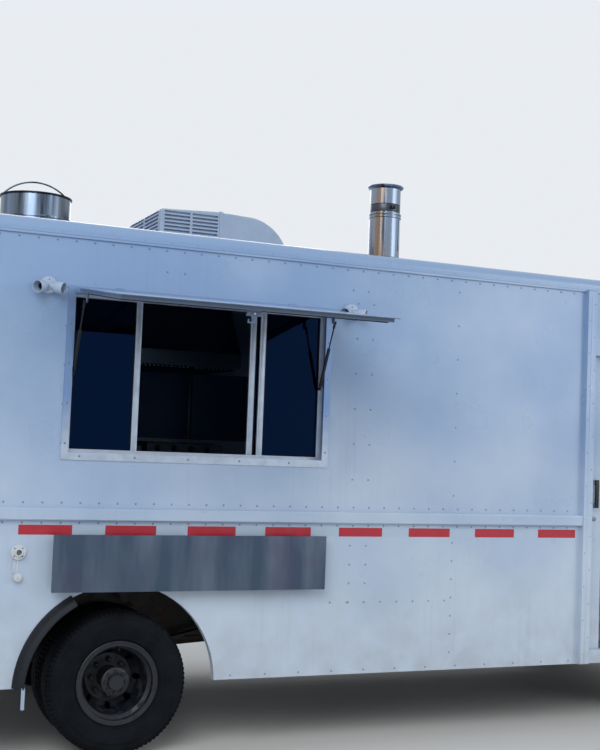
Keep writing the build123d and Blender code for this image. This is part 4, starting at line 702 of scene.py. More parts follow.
def paint_book(look):
    """Mixes every finish once, from the colours that the user set."""
    book = {
        # Body and roof: white paint tinted blue as painted shade; the body's paler tone low down is painted light
        "fleet_paint": fleet_paint("fleet_paint", look.paint, look.faded),
        "roof_paint": fleet_paint("roof_paint", look.paint, look.paint, grime=0.1),
        # Rivet heads are painted darker than the sheet as painted shade of their domes; like the sheet, their colour
        # is painted shade high up and painted light low down
        "rivet_paint": fleet_paint("rivet_paint", "#5F7FA6", "#8AA3BF", grime=0.5),
        "bumper_enamel": chassis_enamel("bumper_enamel", "#101318", amount=0.15),
        "chassis_enamel": chassis_enamel("chassis_enamel", "#0C0F14", amount=0.35),
        "cast_iron": chassis_enamel("cast_iron", "#1C1C1D", "#4E3120", 0.5),
        # Wheels: black steel whose navy tones, given as rust and road dirt, are painted shade
        "wheel_enamel": chassis_enamel("wheel_enamel", "#0A0E15", "#2A323E", 0.3, "#1D2530"),
        # Shelf sheet: dulled stainless, darkened to blue-grey as painted shade, with the sky's reflection painted in
        # as smeared upright bars
        "brushed_stainless": smeared_sheet("brushed_stainless", "#4B5A6E", "#8490A2", "#3A4556"),
        # Galley steel: its dark blue-grey is painted shade of the unlit galley
        "galley_stainless": sheet_metal("galley_stainless", "#62748C", 2.5, (40, 40, 1), (0.3, 0.45), 0.05,
                                        "#3A4656"),
        # Stack and fan: bright-rolled sheet, nearly a mirror
        "fan_stainless": drum_metal("fan_stainless", "#75869C", "#262D38", "#6B747F"),
        "drum_stainless": drum_metal("drum_stainless", "#8391A4", "#262D38", "#9A8268"),
        # Trim: the darker blue outside the wall is painted shade, the paler tone near the sill painted light
        "window_metal": window_metal("window_metal", "#B4C1D3", "#7693BE"),
        # Flap: the dark navy of its underside is painted shade
        "flap_sheet": flap_sheet("flap_sheet", look.paint, "#24344E"),
        # Extruded aluminium goes dull grey-white as it weathers
        "mill_aluminium": sheet_metal("mill_aluminium", "#C6CCD4", 2, (30, 30, 30), (0.35, 0.55), 0.03,
                                      "#9AA2AC"),
        # Rolled edges and clamps hold soot, so they read nearly black against the polished sheet
        "dark_band": sheet_metal("dark_band", "#2C2D31", 4, (1, 1, 1), (0.3, 0.5), 0.05, "#161618"),
        "smoked_band": sheet_metal("smoked_band", "#4E545C", 40, (1, 1, 20), (0.2, 0.35), 0.03, "#23262B",
                                   0.4),
        "zinc_screw": sheet_metal("zinc_screw", "#8B929C", 4, (1, 1, 1), (0.3, 0.5), 0.05, "#4A4B4E"),
        "exhaust_steel": sheet_metal("exhaust_steel", "#5B5650", 20, (4, 1, 1), (0.4, 0.6), 0.3, "#4A2F20",
                                     0.7),
        "chrome": sheet_metal("chrome", "#D6D8DA", 1.5, (1, 1, 20), (0.05, 0.12), 0.01, "#8F9093", 0.1),
        # Tyres: the bluish cast of the black rubber and its dust is painted shade
        "tyre_rubber": rubber("tyre_rubber", "#06090E", "#1C2129", 0.5, shine=0.12),
        "flare_rubber": rubber("flare_rubber", "#0E131A", "#2A3038", 0.45, grain=9, rough=0.65),
        "gasket_rubber": rubber("gasket_rubber", "#08090B", "#222326", 0.35, grain=3, rough=0.6),
        # Shroud and floodlights are white plastic tinted blue-grey: the tint is painted shade
        "shroud_plastic": plastic("shroud_plastic", "#9DB0C8", 0.42),
        "lamp_plastic": plastic("lamp_plastic", "#A5B8D0", 0.35, amount=0.1),
        "inlet_plastic": plastic("inlet_plastic", "#CDD3D9", 0.4),
        "black_plastic": plastic("black_plastic", "#0B0D10", 0.5, dust="#3A3B3E"),
        "strut_enamel": plastic("strut_enamel", "#05070B", 0.4, dust="#121922", amount=0.08),
        # Liner: its dark navy is painted shade of the unlit galley
        "wall_liner": plastic("wall_liner", "#2F5282", 0.5, grain=4, dust="#3A5A80"),
        # Cab door glass: its near-black navy is painted shade of the cab behind it
        "dark_glass": glazing("dark_glass", "#0A1526", clear=0.6),
        # Body glass: near-black behind the cab as painted shade of the galley
        "body_glass": glazing("body_glass", "#B9C6C2", galley="#050B16"),
        "cab_glass": glazing("cab_glass", "#B9C6C2"),
        "mirror_glass": sheet_metal("mirror_glass", "#D5DADD", 60, (1, 1, 1), (0.01, 0.04), 0.001,
                                    "#9AA0A3", 0.05),
        "lens_clear": lamp_lens("lens_clear", "#DDE3E8", 12, 0.85),
        "lens_red": lamp_lens("lens_red", "#A3101C"),
        "lens_amber": lamp_lens("lens_amber", "#D9760E"),
        "marker_tape": reflective_tape("marker_tape", look.tape, "#7E0F22"),
        # White tape tinted blue-grey: the tint is painted shade
        "marker_tape_white": reflective_tape("marker_tape_white", "#B9CBDF", "#93A9C2"),
        "seat_vinyl": upholstery("seat_vinyl", "#1D1F24"),
        "tread_plate": tread_plate("tread_plate"),
    }
    MATERIALS.update(book)


# What each CAD node is made of
NODE_FINISH = {
    "frame": "chassis_enamel", "engine": "cast_iron", "fuel_tank": "chassis_enamel",
    "exhaust_pipe": "exhaust_steel", "front_axle": "cast_iron", "leaf_springs": "chassis_enamel",
    "rear_axle": "cast_iron", "floor": "tread_plate", "wheel_boxes": "chassis_enamel",
    "entrance_steps": "tread_plate", "engine_cover": "seat_vinyl", "side_wall_right": "fleet_paint",
    "side_wall_left": "fleet_paint", "roof": "roof_paint", "rear_wall": "fleet_paint",
    "cab_front": "fleet_paint", "fixed_glass": "body_glass", "grille": "black_plastic",
    "headlamps": "lens_clear", "signal_lamps": "lens_amber", "bumpers": "bumper_enamel",
    "body_trim": "fleet_paint", "service_window_frame": "window_metal",
    "air_conditioner": "shroud_plastic", "exhaust_fan": "fan_stainless",
    "vent_stack": "drum_stainless", "floodlights": "lamp_plastic", "water_inlet": "inlet_plastic",
    "fender_flares": "flare_rubber", "mirrors": "black_plastic", "driver_seat": "seat_vinyl",
    "steering_wheel": "black_plastic", "dashboard": "black_plastic", "kitchen_units": "galley_stainless",
    "shelf_brackets": "mill_aluminium", "serving_hatch": "flap_sheet",
    "strut_tubes": "strut_enamel", "strut_rods": "strut_enamel", "shelf": "brushed_stainless",
    "cab_door": "fleet_paint", "cab_door_glass": "dark_glass", "rear_door": "fleet_paint",
    "rear_door_glass": "cab_glass", "knuckle": "cast_iron", "front_rim": "wheel_enamel",
    "front_tyre": "tyre_rubber", "rear_rims": "wheel_enamel", "rear_tyres": "tyre_rubber",
}


def finish_nodes():
    """Every CAD node gets its real finish."""
    for name, piece in NODES.items():
        base = name.removesuffix("_left").removesuffix("_right")
        material = MATERIALS[NODE_FINISH[name if name in NODE_FINISH else base]]
        piece.data.materials.clear()
        piece.data.materials.append(material)


# Small parts that many pieces share

RIGHT, LEFT, REAR, FRONT, UP, DOWN = (0, -1, 0), (0, 1, 0), (-1, 0, 0), (1, 0, 0), (0, 0, 1), (0, 0, -1)


def ring_of(count, radius, x, y, z, flat=False, start=0):
    """Points round a centre, about the truck's y axis, or flat about its upright one."""
    points = []
    for n in range(count):
        angle = math.tau * n / count + start
        along, across = radius * math.cos(angle), radius * math.sin(angle)
        points.append((x + along, y + across, z) if flat else (x + along, y, z + across))
    return points


def turned_to(facing):
    """The rotation that lays a primitive's top toward a direction, its Y axis upward."""
    return Vector(facing).to_track_quat("Z", "Y").to_euler()


def new_rivet(facing, radius=5.0, lift=2.4):
    """A low dome: half a sphere, flattened, its base closed. It waits at the world's origin."""
    deselect()
    bpy.ops.mesh.primitive_uv_sphere_add(segments=10, ring_count=6, radius=radius * MM)
    bpy.context.object.scale.z = lift / radius
    dome = settle("rivet")
    edit_all()
    bpy.ops.mesh.bisect(plane_co=(0, 0, 0), plane_no=(0, 0, 1), clear_inner=True, use_fill=True)
    done()
    bpy.ops.object.shade_smooth_by_angle(angle=math.radians(50))
    dome.rotation_euler = turned_to(facing)
    return settle("rivet")


def new_bolt(facing, across, lift):
    """A chamfered hexagon head on its washer. It waits at the world's origin."""
    deselect()
    bpy.ops.mesh.primitive_cylinder_add(vertices=6, radius=across / 2 * MM, depth=lift * MM,
                                        location=(0, 0, lift * 0.62 * MM))
    head = settle("bolt")
    bpy.ops.object.mode_set(mode="EDIT")
    bpy.ops.mesh.select_all(action="DESELECT")
    done()
    pick(head, lambda middle, normal: normal.z > ALONG)
    bpy.ops.mesh.inset(thickness=across * 0.09 * MM, depth=lift * 0.18 * MM)
    done()
    bpy.ops.mesh.primitive_cylinder_add(vertices=16, radius=across * 0.62 * MM, depth=lift * 0.24 * MM,
                                        location=(0, 0, lift * 0.12 * MM))
    washer = settle("washer")
    bolt = joined("bolt", [head, washer])
    bolt.rotation_euler = turned_to(facing)
    return settle("bolt")


def scatter(name, master, places):
    """Copies of a small part at many places, as one object. The waiting part itself goes."""
    copies = []
    for place in places:
        copy = copy_of(master)
        copy.location = at(*place)
        copies.append(settle(name))
    bpy.data.objects.remove(master)
    return joined(name, copies)


Line = namedtuple("Line", "x y z dx dy dz count")


def rivet_lines(name, facing, lines, radius=5.0, lift=2.4):
    """Lines of rivets: each starts at a point and repeats by a step."""
    master = new_rivet(facing, radius, lift)
    made = []
    for line in lines:
        copy = copy_of(master)
        copy.location = at(line.x, line.y, line.z)
        copy = settle(name)
        made.append(row(copy, (line.dx, line.dy, line.dz), line.count) if line.count > 1 else copy)
    bpy.data.objects.remove(master)
    return joined(name, made)


def new_panel(name, centre, facing, width, height, radius, depth, band=0, edge=0.0, segments=6, lean=0):
    """A plate with rounded corners, or with a band the frame of one, standing off a surface by its depth.

    Its top front corner may lean along x.
    """
    deselect()
    bpy.ops.mesh.primitive_plane_add(size=1, location=at(*centre), rotation=turned_to(facing))
    bpy.context.object.scale = (width * MM, height * MM, 1)
    panel = settle(name)
    bpy.context.tool_settings.mesh_select_mode = (True, False, False)
    middle = at(*centre)
    select_nothing(panel.data)
    for corner in panel.data.vertices:
        corner.select = corner.co.x > middle.x and corner.co.z > middle.z
    bpy.ops.object.mode_set(mode="EDIT")
    if lean:
        bpy.ops.transform.translate(value=(lean * MM, 0, 0))
    bpy.ops.mesh.select_all(action="SELECT")
    if radius:
        bpy.ops.mesh.bevel(offset=radius * MM, segments=segments, affect="VERTICES")
    if band:
        bpy.ops.mesh.select_all(action="SELECT")
        inset(band)
        bpy.ops.mesh.delete(type="FACE")
    done()
    modify(panel, "SOLIDIFY", thickness=depth * MM, offset=1.0)
    return soften(panel, edge) if edge else panel


# What a user may change

class TruckLook(bpy.types.PropertyGroup):
    """Colours and sizes of the dressed truck."""

    # Both paint defaults are white paint tinted blue as painted shade; the paler one near the skirts is painted light
    paint: bpy.props.StringProperty(name="Paint", description="Body colour as sRGB hex", default="#84A1C7")
    faded: bpy.props.StringProperty(name="Lit paint low", description="The paint near the skirts, as sRGB hex",
                                    default="#C1D1E3")
    tape: bpy.props.StringProperty(name="Tape", description="Marker tape colour as sRGB hex",
                                   default="#BE102E")
    rivet_head: bpy.props.FloatProperty(name="Rivet head", description="Width of a rivet's head",
                                        default=0.0125, min=0.004, max=0.03, unit="LENGTH")
    rivet_pitch: bpy.props.FloatProperty(name="Rivet pitch",
                                         description="Spacing of the rivets along the rub rail",
                                         default=0.1, min=0.03, max=0.3, unit="LENGTH")
    tape_length: bpy.props.FloatProperty(name="Tape length", description="Length of one red strip",
                                         default=0.2794, min=0.1, max=0.6, unit="LENGTH")
    tape_pitch: bpy.props.FloatProperty(name="Tape pitch", description="From one red strip to the next",
                                        default=0.4572, min=0.2, max=1.0, unit="LENGTH")
    tape_height: bpy.props.FloatProperty(name="Tape height", description="Width of the tape",
                                         default=0.0508, min=0.02, max=0.1, unit="LENGTH")


class StageLook(bpy.types.PropertyGroup):
    """Floor, lamps and camera."""

    floor: bpy.props.StringProperty(name="Floor", description="Floor colour as sRGB hex", default="#D9D9D7")
    key_power: bpy.props.FloatProperty(name="Key lamp", description="Strength of the large soft lamp",
                                       default=560.0, min=0.0, unit="POWER")
    sky: bpy.props.FloatProperty(name="Sky", description="Strength of the even light from all round",
                                 default=0.5, min=0.0, max=3.0)
    lens: bpy.props.FloatProperty(name="Lens", description="Focal length of the camera on a 36 mm sensor",
                                  default=57.7, min=10.0, max=300.0)


def look():
    return bpy.context.scene.food_truck_look


# Stage

BACKDROP = "#EEF2F7"
CAMERA_AT = Vector((-3.5037, -7.1247, 1.6808))
CAMERA_YAW, CAMERA_PITCH, CAMERA_ROLL = (math.radians(v) for v in (23.721, 3.390, 2.230))


class FOODTRUCK_OT_stage(bpy.types.Operator):
    """Set the floor, the soft lamps and the camera"""
    bl_idname = "food_truck.stage"
    bl_label = "Set the stage"

    def execute(self, context):
        stage = context.scene.food_truck_stage
        deselect()
        bpy.ops.mesh.primitive_plane_add(size=90, location=(0, 0, 0))
        floor = settle("floor_plane")
        material, tree, shader, place = begin("studio_floor", roughness=0.9)
        pale = mixed(tree, noise(tree, place, 900, detail=3), stage.floor, "#D3D3D2")
        tree.links.new(pale, shader.inputs["Base Color"])
        # Far from the truck the floor turns into the pale backdrop, for the camera and in reflections
        ray = node(tree, "ShaderNodeLightPath").outputs
        shown = times(tree, times(tree, ray["Is Camera Ray"], ray["Is Glossy Ray"], "ADD"),
                      ray["Is Transmission Ray"], "ADD")
        reach = node(tree, "ShaderNodeVectorMath", {0: place}, operation="LENGTH").outputs["Value"]
        far = node(tree, "ShaderNodeMapRange", {"Value": reach, "From Min": 5.0, "From Max": 15.0},
                   interpolation_type="SMOOTHSTEP").outputs[0]
        glow = node(tree, "ShaderNodeEmission", {"Color": linear(BACKDROP), "Strength": 0.95})
        blend = node(tree, "ShaderNodeMixShader", {0: times(tree, far, shown), 1: shader.outputs[0],
                                                   2: glow.outputs[0]})
        tree.links.new(blend.outputs[0], tree.nodes["Material Output"].inputs["Surface"])
        floor.data.materials.append(material)
        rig.stage(floor)

        # Pale all round for the camera and for reflections, a little dimmer as light
        world = bpy.data.worlds.new("studio")
        world.use_nodes = True
        sky = world.node_tree
        back = sky.nodes["Background"]
        back.inputs["Color"].default_value = linear(BACKDROP)
        ray = node(sky, "ShaderNodeLightPath").outputs
        shown = times(sky, times(sky, ray["Is Camera Ray"], ray["Is Glossy Ray"], "ADD"),
                      ray["Is Transmission Ray"], "ADD")
        sky.links.new(node(sky, "ShaderNodeMapRange", {"Value": shown, "To Min": stage.sky,
                                                       "To Max": 0.95}).outputs[0], back.inputs["Strength"])
        context.scene.world = world

        for name, size, power, spot, aim in (
            ("key", 7.0, stage.key_power, (-6.5, -8.0, 7.5), (0.0, -0.5, 1.2)),
            ("fill", 6.0, stage.key_power * 0.45, (7.5, -7.0, 5.0), (0.5, 0.0, 1.2)),
            ("back", 6.0, stage.key_power * 0.5, (1.0, 8.5, 7.0), (0.0, 0.0, 1.5)),
        ):
            data = bpy.data.lights.new(name, "AREA")
            data.size = size
            data.energy = power
            lamp = bpy.data.objects.new(name, data)
            lamp.location = spot
            lamp.rotation_euler = (Vector(aim) - Vector(spot)).to_track_quat("-Z", "Y").to_euler()
            context.scene.collection.objects.link(lamp)

        data = bpy.data.cameras.new("camera")
        data.lens = stage.lens
        data.sensor_width = 36
        data.clip_end = 200
        camera = bpy.data.objects.new("camera", data)
        ahead = Matrix.Rotation(-CAMERA_YAW, 4, "Z") @ Matrix.Rotation(math.pi / 2 + CAMERA_PITCH, 4, "X")
        camera.matrix_world = Matrix.Translation(CAMERA_AT) @ ahead @ Matrix.Rotation(CAMERA_ROLL, 4, "Z")
        context.scene.collection.objects.link(camera)
        context.scene.camera = camera
        context.scene.view_settings.view_transform = "Standard"
        return {"FINISHED"}


class FOODTRUCK_OT_finishes(bpy.types.Operator):
    """Mix the finishes and give each part of the model its own"""
    bl_idname = "food_truck.finishes"
    bl_label = "Finish the model's parts"

    def execute(self, context):
        paint_book(look())
        finish_nodes()
        return {"FINISHED"}


# Body: tape, rivets, seams

class FOODTRUCK_OT_tape(bpy.types.Operator):
    """Lay the red and white marker tape below both rub rails"""
    bl_idname = "food_truck.tape"
    bl_label = "Lay the marker tape"

    def execute(self, context):
        setting = look()
        length, pitch, tall = (v / MM for v in (setting.tape_length, setting.tape_pitch, setting.tape_height))
        top, first, thick, corner = 1223, -1034.2, 0.8, 3
        for side, sign in SIDES.items():
            wall = sign * HALF_WIDTH
            face = (wall, wall + sign * thick)
            strips = {"red": [], "white": []}
            whole = new_block("tape", (first, first + length), face, (top - tall, top))
            strips["red"].append(row(whole, (pitch, 0, 0), 9))
            strips["red"].append(new_block("tape", (REAR_X + 14, first - pitch + length), face,
                                           (top - tall, top)))
            between = new_block("tape", (first + length + 1, first + pitch - 1), face, (top - tall, top))
            strips["white"].append(row(between, (pitch, 0, 0), 8))
            strips["white"].append(new_block("tape", (first - pitch + length + 1, first - 1), face,
                                             (top - tall, top)))
            for colour, parts in strips.items():
                piece = joined(f"tape_{colour}_{side}", parts)
                pick(piece, lambda middle, along: abs(along.y) > ALONG, "EDGE")
                bpy.ops.mesh.bevel(offset=corner * MM, segments=3)
                done()
                ride(piece, "marker_tape" if colour == "red" else "marker_tape_white")
        return {"FINISHED"}


class FOODTRUCK_OT_rivets(bpy.types.Operator):
    """Set the rivets of both sides, the rear wall and the roof's edge"""
    bl_idname = "food_truck.rivets"
    bl_label = "Set the rivets"

    def execute(self, context):
        setting = look()
        pitch, head = setting.rivet_pitch / MM, setting.rivet_head / 2 / MM
        long_row = int((POST_X - REAR_X - 60) / pitch) + 1
        # Upright rows are close below the rub rail and wide above it, and start over the arch or the rail
        close, wide, arch, upper = 108, 205, 796, 1420
        for side, sign in SIDES.items():
            wall = sign * HALF_WIDTH
            facing = (0, sign, 0)
            lines = [
                Line(REAR_X + 30, wall, 1339, pitch, 0, 0, long_row),
                Line(REAR_X + 30, wall, 1234, pitch, 0, 0, long_row),
                Line(REAR_X + 40, wall, 2716, pitch, 0, 0, 43),
                Line(2008, wall, 490, 0, 0, close, 7),
                Line(2008, wall, upper, 0, 0, wide, 7),
                Line(1326, wall, arch, 0, 0, close, 4),
                Line(1429, wall, arch, 0, 0, close, 4),
                Line(1326, wall, 1500, 0, 0, wide, 6),
                Line(1429, wall, 1500, 0, 0, wide, 6),
                Line(1210, wall, arch, close, 0, 0, 8),
                Line(620, wall, 410, wide, 0, 0, 12),
                Line(-700, wall, 410, -wide, 0, 0, 4),
                Line(-960, wall, 520, 0, 0, close, 6),
                Line(-960, wall, upper, 0, 0, wide, 7),
                Line(REAR_X + 28, wall, 500, 0, 0, close, 7),
                Line(REAR_X + 28, wall, upper, 0, 0, wide, 7),
            ]
            if side == "right":
                lines += [Line(-380, wall, 1650, 0, 0, wide, 5), Line(-360, wall, 1650, 0, 0, wide, 5),
                          Line(158, wall, 2600, 100, 0, 0, 2), Line(1290, wall, 2600, 100, 0, 0, 2)]
            else:
                lines += [Line(-380, wall, upper, 0, 0, wide, 7), Line(600, wall, upper, 0, 0, wide, 7)]
            ride(rivet_lines(f"rivets_{side}", facing, lines, head, 3), "rivet_paint")
            post = sign * (HALF_WIDTH + POST_T)
            posts = [Line(POST_X + 14, post, 450, 0, 0, 210, 11), Line(POST_X + 52, post, 555, 0, 0, 210, 11)]
            ride(rivet_lines(f"post_rivets_{side}", facing, posts, 4.5), "rivet_paint")
            corner = [Line(REAR_X, sign * 1150, 640, 0, 0, 150, 14),
                      Line(REAR_X, sign * 690, 720, 0, 0, wide, 10)]
            ride(rivet_lines(f"rear_rivets_{side}", REAR, corner, head), "rivet_paint")
            edge = sign * (HALF_WIDTH + 12)
            rail = [Line(REAR_X + 60, edge, EAVES_Z + 11, 150, 0, 0, 38)]
            ride(rivet_lines(f"roof_rivets_{side}", facing, rail, 4), "roof_paint")
        return {"FINISHED"}


class FOODTRUCK_OT_seams(bpy.types.Operator):
    """Lay the roof's cover strips, the drip rails, the posts' flutes and the rub rails' end caps"""
    bl_idname = "food_truck.seams"
    bl_label = "Lay the seams"

    def execute(self, context):
        # Cover strips cross the flat of the roof over each sheet joint
        strip = new_block("roof_strips", (-900, -852), (-690, 690), (CROWN_Z, CROWN_Z + 2.5))
        strip = soften(row(strip, (1220, 0, 0), 4), 1)
        ride(strip, "roof_paint")
        studs = [Line(x + 1220 * n, -600, CROWN_Z + 2.5, 0, 120, 0, 11) for x in (-891, -861)
                 for n in range(4)]
        ride(rivet_lines("roof_strip_rivets", UP, studs, 5), "roof_paint")
        for side, sign in SIDES.items():
            edge = sign * (HALF_WIDTH + 12)
            # A drip rail hooks outwards below the roof's rounded edge
            rail = new_block(f"drip_rail_{side}", (REAR_X + 6, POST_X + 700),
                             (edge - sign * 12, edge - sign * 2), (EAVES_Z - 14, EAVES_Z))
            ride(soften(pressed(rail, DOWN, 2.5, (0, 0, 6)), 0.8), "fleet_paint")
            # The post beside the cab door has a shallow flute down its middle
            post = sign * (HALF_WIDTH + POST_T)
            ride(new_block(f"post_flute_{side}", (POST_X + 25, POST_X + 41),
                           (post - sign * 1, post + sign * 1.5), (SKIRT_TOP, EAVES_Z - 40), 1.2, 3),
                 "fleet_paint")
            # End caps close the rub rail
            rail_y = sign * (HALF_WIDTH + 28)
            ride(new_block(f"rub_rail_caps_{side}", (REAR_X + 2, REAR_X + 10),
                           (sign * HALF_WIDTH, rail_y + sign * 1.5), (1246, 1316), 1.5), "gasket_rubber")
        return {"FINISHED"}


# Tyres and wheels

TREAD = [(-92, 352), (-88, 362), (-85, 370), (-79, 376), (-62, 378), (-57, 379.5), (-55.5, 370), (-48, 370),
         (-46.5, 380), (-23, 381.2), (-21.5, 371.5), (-14, 371.5), (-12.5, 381.6), (0, 382)]
WALLS = [(-72, 204), (-72.5, 225), (-80, 229), (-84, 236), (-90, 237), (-93, 246), (-99, 256), (-103.5, 268),
         (-106.5, 281), (-107.3, 292), (-106, 305), (-106.8, 308), (-106.3, 311), (-104, 314), (-100.5, 330),
         (-98, 338), (-98.6, 341), (-95, 345)]


TYRE_STEPS = 180
# The gaps between the shoulder's lugs: across the tread from its middle, from the hub, and deep
LUG_ACROSS, LUG_RADIUS, LUG_DEPTH = (58, 90), (356, 380.5), 4


def new_tyre(name, x, y):
    """A highway truck tyre: four grooves round the tread, cut shoulders, and rings on its walls."""
    half = WALLS + TREAD
    profile = half + [(-along, radius) for along, radius in reversed(half[:-1])] + [half[0]]
    tyre = lathe(name, (x, y, AXLE_Z), (0, 1, 0), profile, TYRE_STEPS)
    turn = math.tau / TYRE_STEPS

    def lug_gap(middle, normal):
        """Every other step of both shoulders."""
        radius = math.hypot(middle.x - x, middle.z - AXLE_Z)
        across = middle.y - y
        if not (LUG_ACROSS[0] < abs(across) < LUG_ACROSS[1] and LUG_RADIUS[0] < radius < LUG_RADIUS[1]):
            return False
        return int((math.atan2(middle.z - AXLE_Z, middle.x - x) % math.tau) / turn) % 2 == 0
    pick(tyre, lug_gap)
    bpy.ops.mesh.extrude_region_shrink_fatten(TRANSFORM_OT_shrink_fatten={"value": -LUG_DEPTH * MM})
    done()
    return tyre


def new_wheel_nuts(name, x, y, facing, circle, count, across=30):
    """A ring of wheel nuts, each with its stud standing through it."""
    places = ring_of(count, circle, x, y, AXLE_Z)
    nuts = scatter(name, new_bolt(facing, across, 22), places)
    studs = [new_rod(name, p, (p[0], p[1] + facing[1] * 34, p[2]), 8, 12) for p in places]
    return soften(joined(name, [nuts, *studs]), 0.8, 1)


class FOODTRUCK_OT_wheels(bpy.types.Operator):
    """Build the tyres' tread and walls, the wheel nuts, hub caps and valves"""
    bl_idname = "food_truck.wheels"
    bl_label = "Build the wheels"

    def execute(self, context):
        front, outer, inner = 960, 1047, 793
        master = new_tyre("tyre", WHEELBASE, front)
        for side, sign in SIDES.items():
            tyre = copy_of(master, (0, sign * front - front, 0), f"front_tyre_{side}_tread")
            ride(tyre, "tyre_rubber", f"front_wheel_{side}", "tyre", [f"front_tyre_{side}"])
            pair = [copy_of(master, (-WHEELBASE, sign * place - front, 0), "rear")
                    for place in (outer, inner)]
            tyre = joined(f"rear_tyres_{side}_tread", pair)
            ride(tyre, "tyre_rubber", f"rear_wheels_{side}", "tyre", [f"rear_tyres_{side}"])

            out = (0, sign, 0)
            face = sign * 1087
            nuts = new_wheel_nuts(f"front_nuts_{side}", WHEELBASE, face, out, 96, 8)
            ride(nuts, "zinc_screw", f"front_wheel_{side}")
            cap = lathe(f"front_hub_cap_{side}", (WHEELBASE, face + sign * 38, AXLE_Z), out,
                        [(0, 0), (8, 20), (8, 34), (2, 46), (0, 62), (-4, 63), (-4, 0)], 36)
            ride(cap, "wheel_enamel", f"front_wheel_{side}")
            face = sign * 927
            nuts = new_wheel_nuts(f"rear_nuts_{side}", 0, face, out, 96, 8)
            ride(nuts, "wheel_enamel", f"rear_wheels_{side}")
            flange = lathe(f"rear_hub_flange_{side}", (0, sign * 1084, AXLE_Z), out,
                           [(0, 41), (3, 43), (3, 70), (0, 75), (-4, 75.5), (-4, 41), (0, 41)], 48)
            bolts = scatter("bolts", new_bolt(out, 17, 9), ring_of(8, 57, 0, sign * 1087, AXLE_Z))
            fitted(f"rear_hub_flange_{side}", [flange, bolts], "wheel_enamel", f"rear_wheels_{side}")
            for name, body, x, ring_y in (("front", "front_wheel", WHEELBASE, 1042),
                                          ("rear", "rear_wheels", 0, 1129)):
                # A rolled bead finishes the rim's outer lip, and the valve stands inside it
                bead = lathe(f"{name}_rim_bead_{side}", (x, sign * ring_y, AXLE_Z), out,
                             [(-5, 215), (-5, 222), (-1, 224), (1.5, 220), (1, 214), (-2, 211), (-5, 215)],
                             96)
                ride(bead, "wheel_enamel", f"{body}_{side}")
                stem = new_rod("valve", (x, sign * (ring_y - 45), AXLE_Z + 188),
                               (x, sign * (ring_y - 8), AXLE_Z + 176), 4, 10)
                cap = new_rod("valve", (x, sign * (ring_y - 16), AXLE_Z + 178.6),
                              (x, sign * (ring_y - 4), AXLE_Z + 174.7), 5.5, 12)
                ride(soften(joined(f"{name}_valve_{side}", [stem, cap]), 0.7, 1), "gasket_rubber",
                     f"{body}_{side}")
        bpy.data.objects.remove(master)
        return {"FINISHED"}


# Serving window, flap, struts and shelf

SASH = {"width": 383, "rail": 14, "stile": 33, "inner": -1104}
# Each sash: its middle, its track, its rear bar and its front bar
SASHES = ((-148.5, -1125, 14, 33), (-148.5, -1104, 33, 33), (930.5, -1125, 33, 14), (878.5, -1104, 33, 33))
FLAP = {"axis": (-1205, 2458), "slope": math.radians(8), "start": 16, "reach": 862, "half": 739, "thick": 12}
HINGES = (-80, 925)
LATCH_X = 349


def on_flap(x, out, up):
    """A point of the raised flap: along the truck, outwards from its hinge line, above its middle."""
    y, z = FLAP["axis"]
    c, s = math.cos(FLAP["slope"]), math.sin(FLAP["slope"])
    return x, y - out * c - up * s, z - out * s + up * c


FLAP_UP = (0, -math.sin(FLAP["slope"]), math.cos(FLAP["slope"]))
FLAP_OUT = (0, -math.cos(FLAP["slope"]), -math.sin(FLAP["slope"]))


class FOODTRUCK_OT_window(bpy.types.Operator):
    """Fit the serving window's gaskets, trim screws, sill ribs and slider pulls"""
    bl_idname = "food_truck.window"
    bl_label = "Fit the serving window"

    def execute(self, context):
        x0, x1, z0, z1 = (WINDOW[key] for key in ("x0", "x1", "z0", "z1"))
        face = -HALF_WIDTH - 6
        screws = [Line(x, face, z0 + 46, 0, 0, 210, 4) for x in (x0 - 20, x1 + 20)]
        screws += [Line(x0 + 60, face, z0 - 20, 300, 0, 0, 5), Line(x0 + 60, face, z1 + 22, 300, 0, 0, 5)]
        ride(rivet_lines("window_trim_screws", RIGHT, screws, 6, 2.6), "zinc_screw")
        half = SASH["width"] / 2
        gaskets, beads, pulls = [], [], []
        for middle, track, rear, front in SASHES:
            centre = (middle + (rear - front) / 2, (z0 + z1) / 2)
            wide, tall = SASH["width"] - rear - front, z1 - z0 - 2 * SASH["rail"]
            for facing, y in ((RIGHT, track - 2), (LEFT, track + 2)):
                gaskets.append(new_panel("gasket", (centre[0], y, centre[1]), facing, wide, tall, 5, 4, 5))
            # Folded beads stiffen the wide stiles
            for x, bar in ((middle - half + rear / 2, rear), (middle + half - front / 2, front)):
                if bar > 20:
                    beads.append(new_block("bead", (x - 9, x + 9), (track - 7, track - 8.6),
                                           (z0 + 16, z1 - 16), 0.7))
        fitted("window_gaskets", gaskets, "gasket_rubber")
        fitted("sash_beads", beads, "window_metal")
        for middle, side in ((SASHES[1][0], 1), (SASHES[3][0], -1)):
            x = middle + side * (half - SASH["stile"] / 2)
            pull = new_block("pull", (x - 11, x + 11), (SASH["inner"] + 7, SASH["inner"] + 17), (1820, 1960))
            pulls.append(soften(pressed(pull, LEFT, 4, (0, 6, 0)), 1.5))
        fitted("slider_pulls", pulls, "black_plastic")
        ribs = new_block("sill_ribs", (x0 + 2, x1 - 2), (-1134, -1131.5), (z0 + 12, z0 + 17))
        ribs = soften(row(ribs, (0, 21, 0), 3), 0.8, 1)
        ride(ribs, "mill_aluminium")
        return {"FINISHED"}


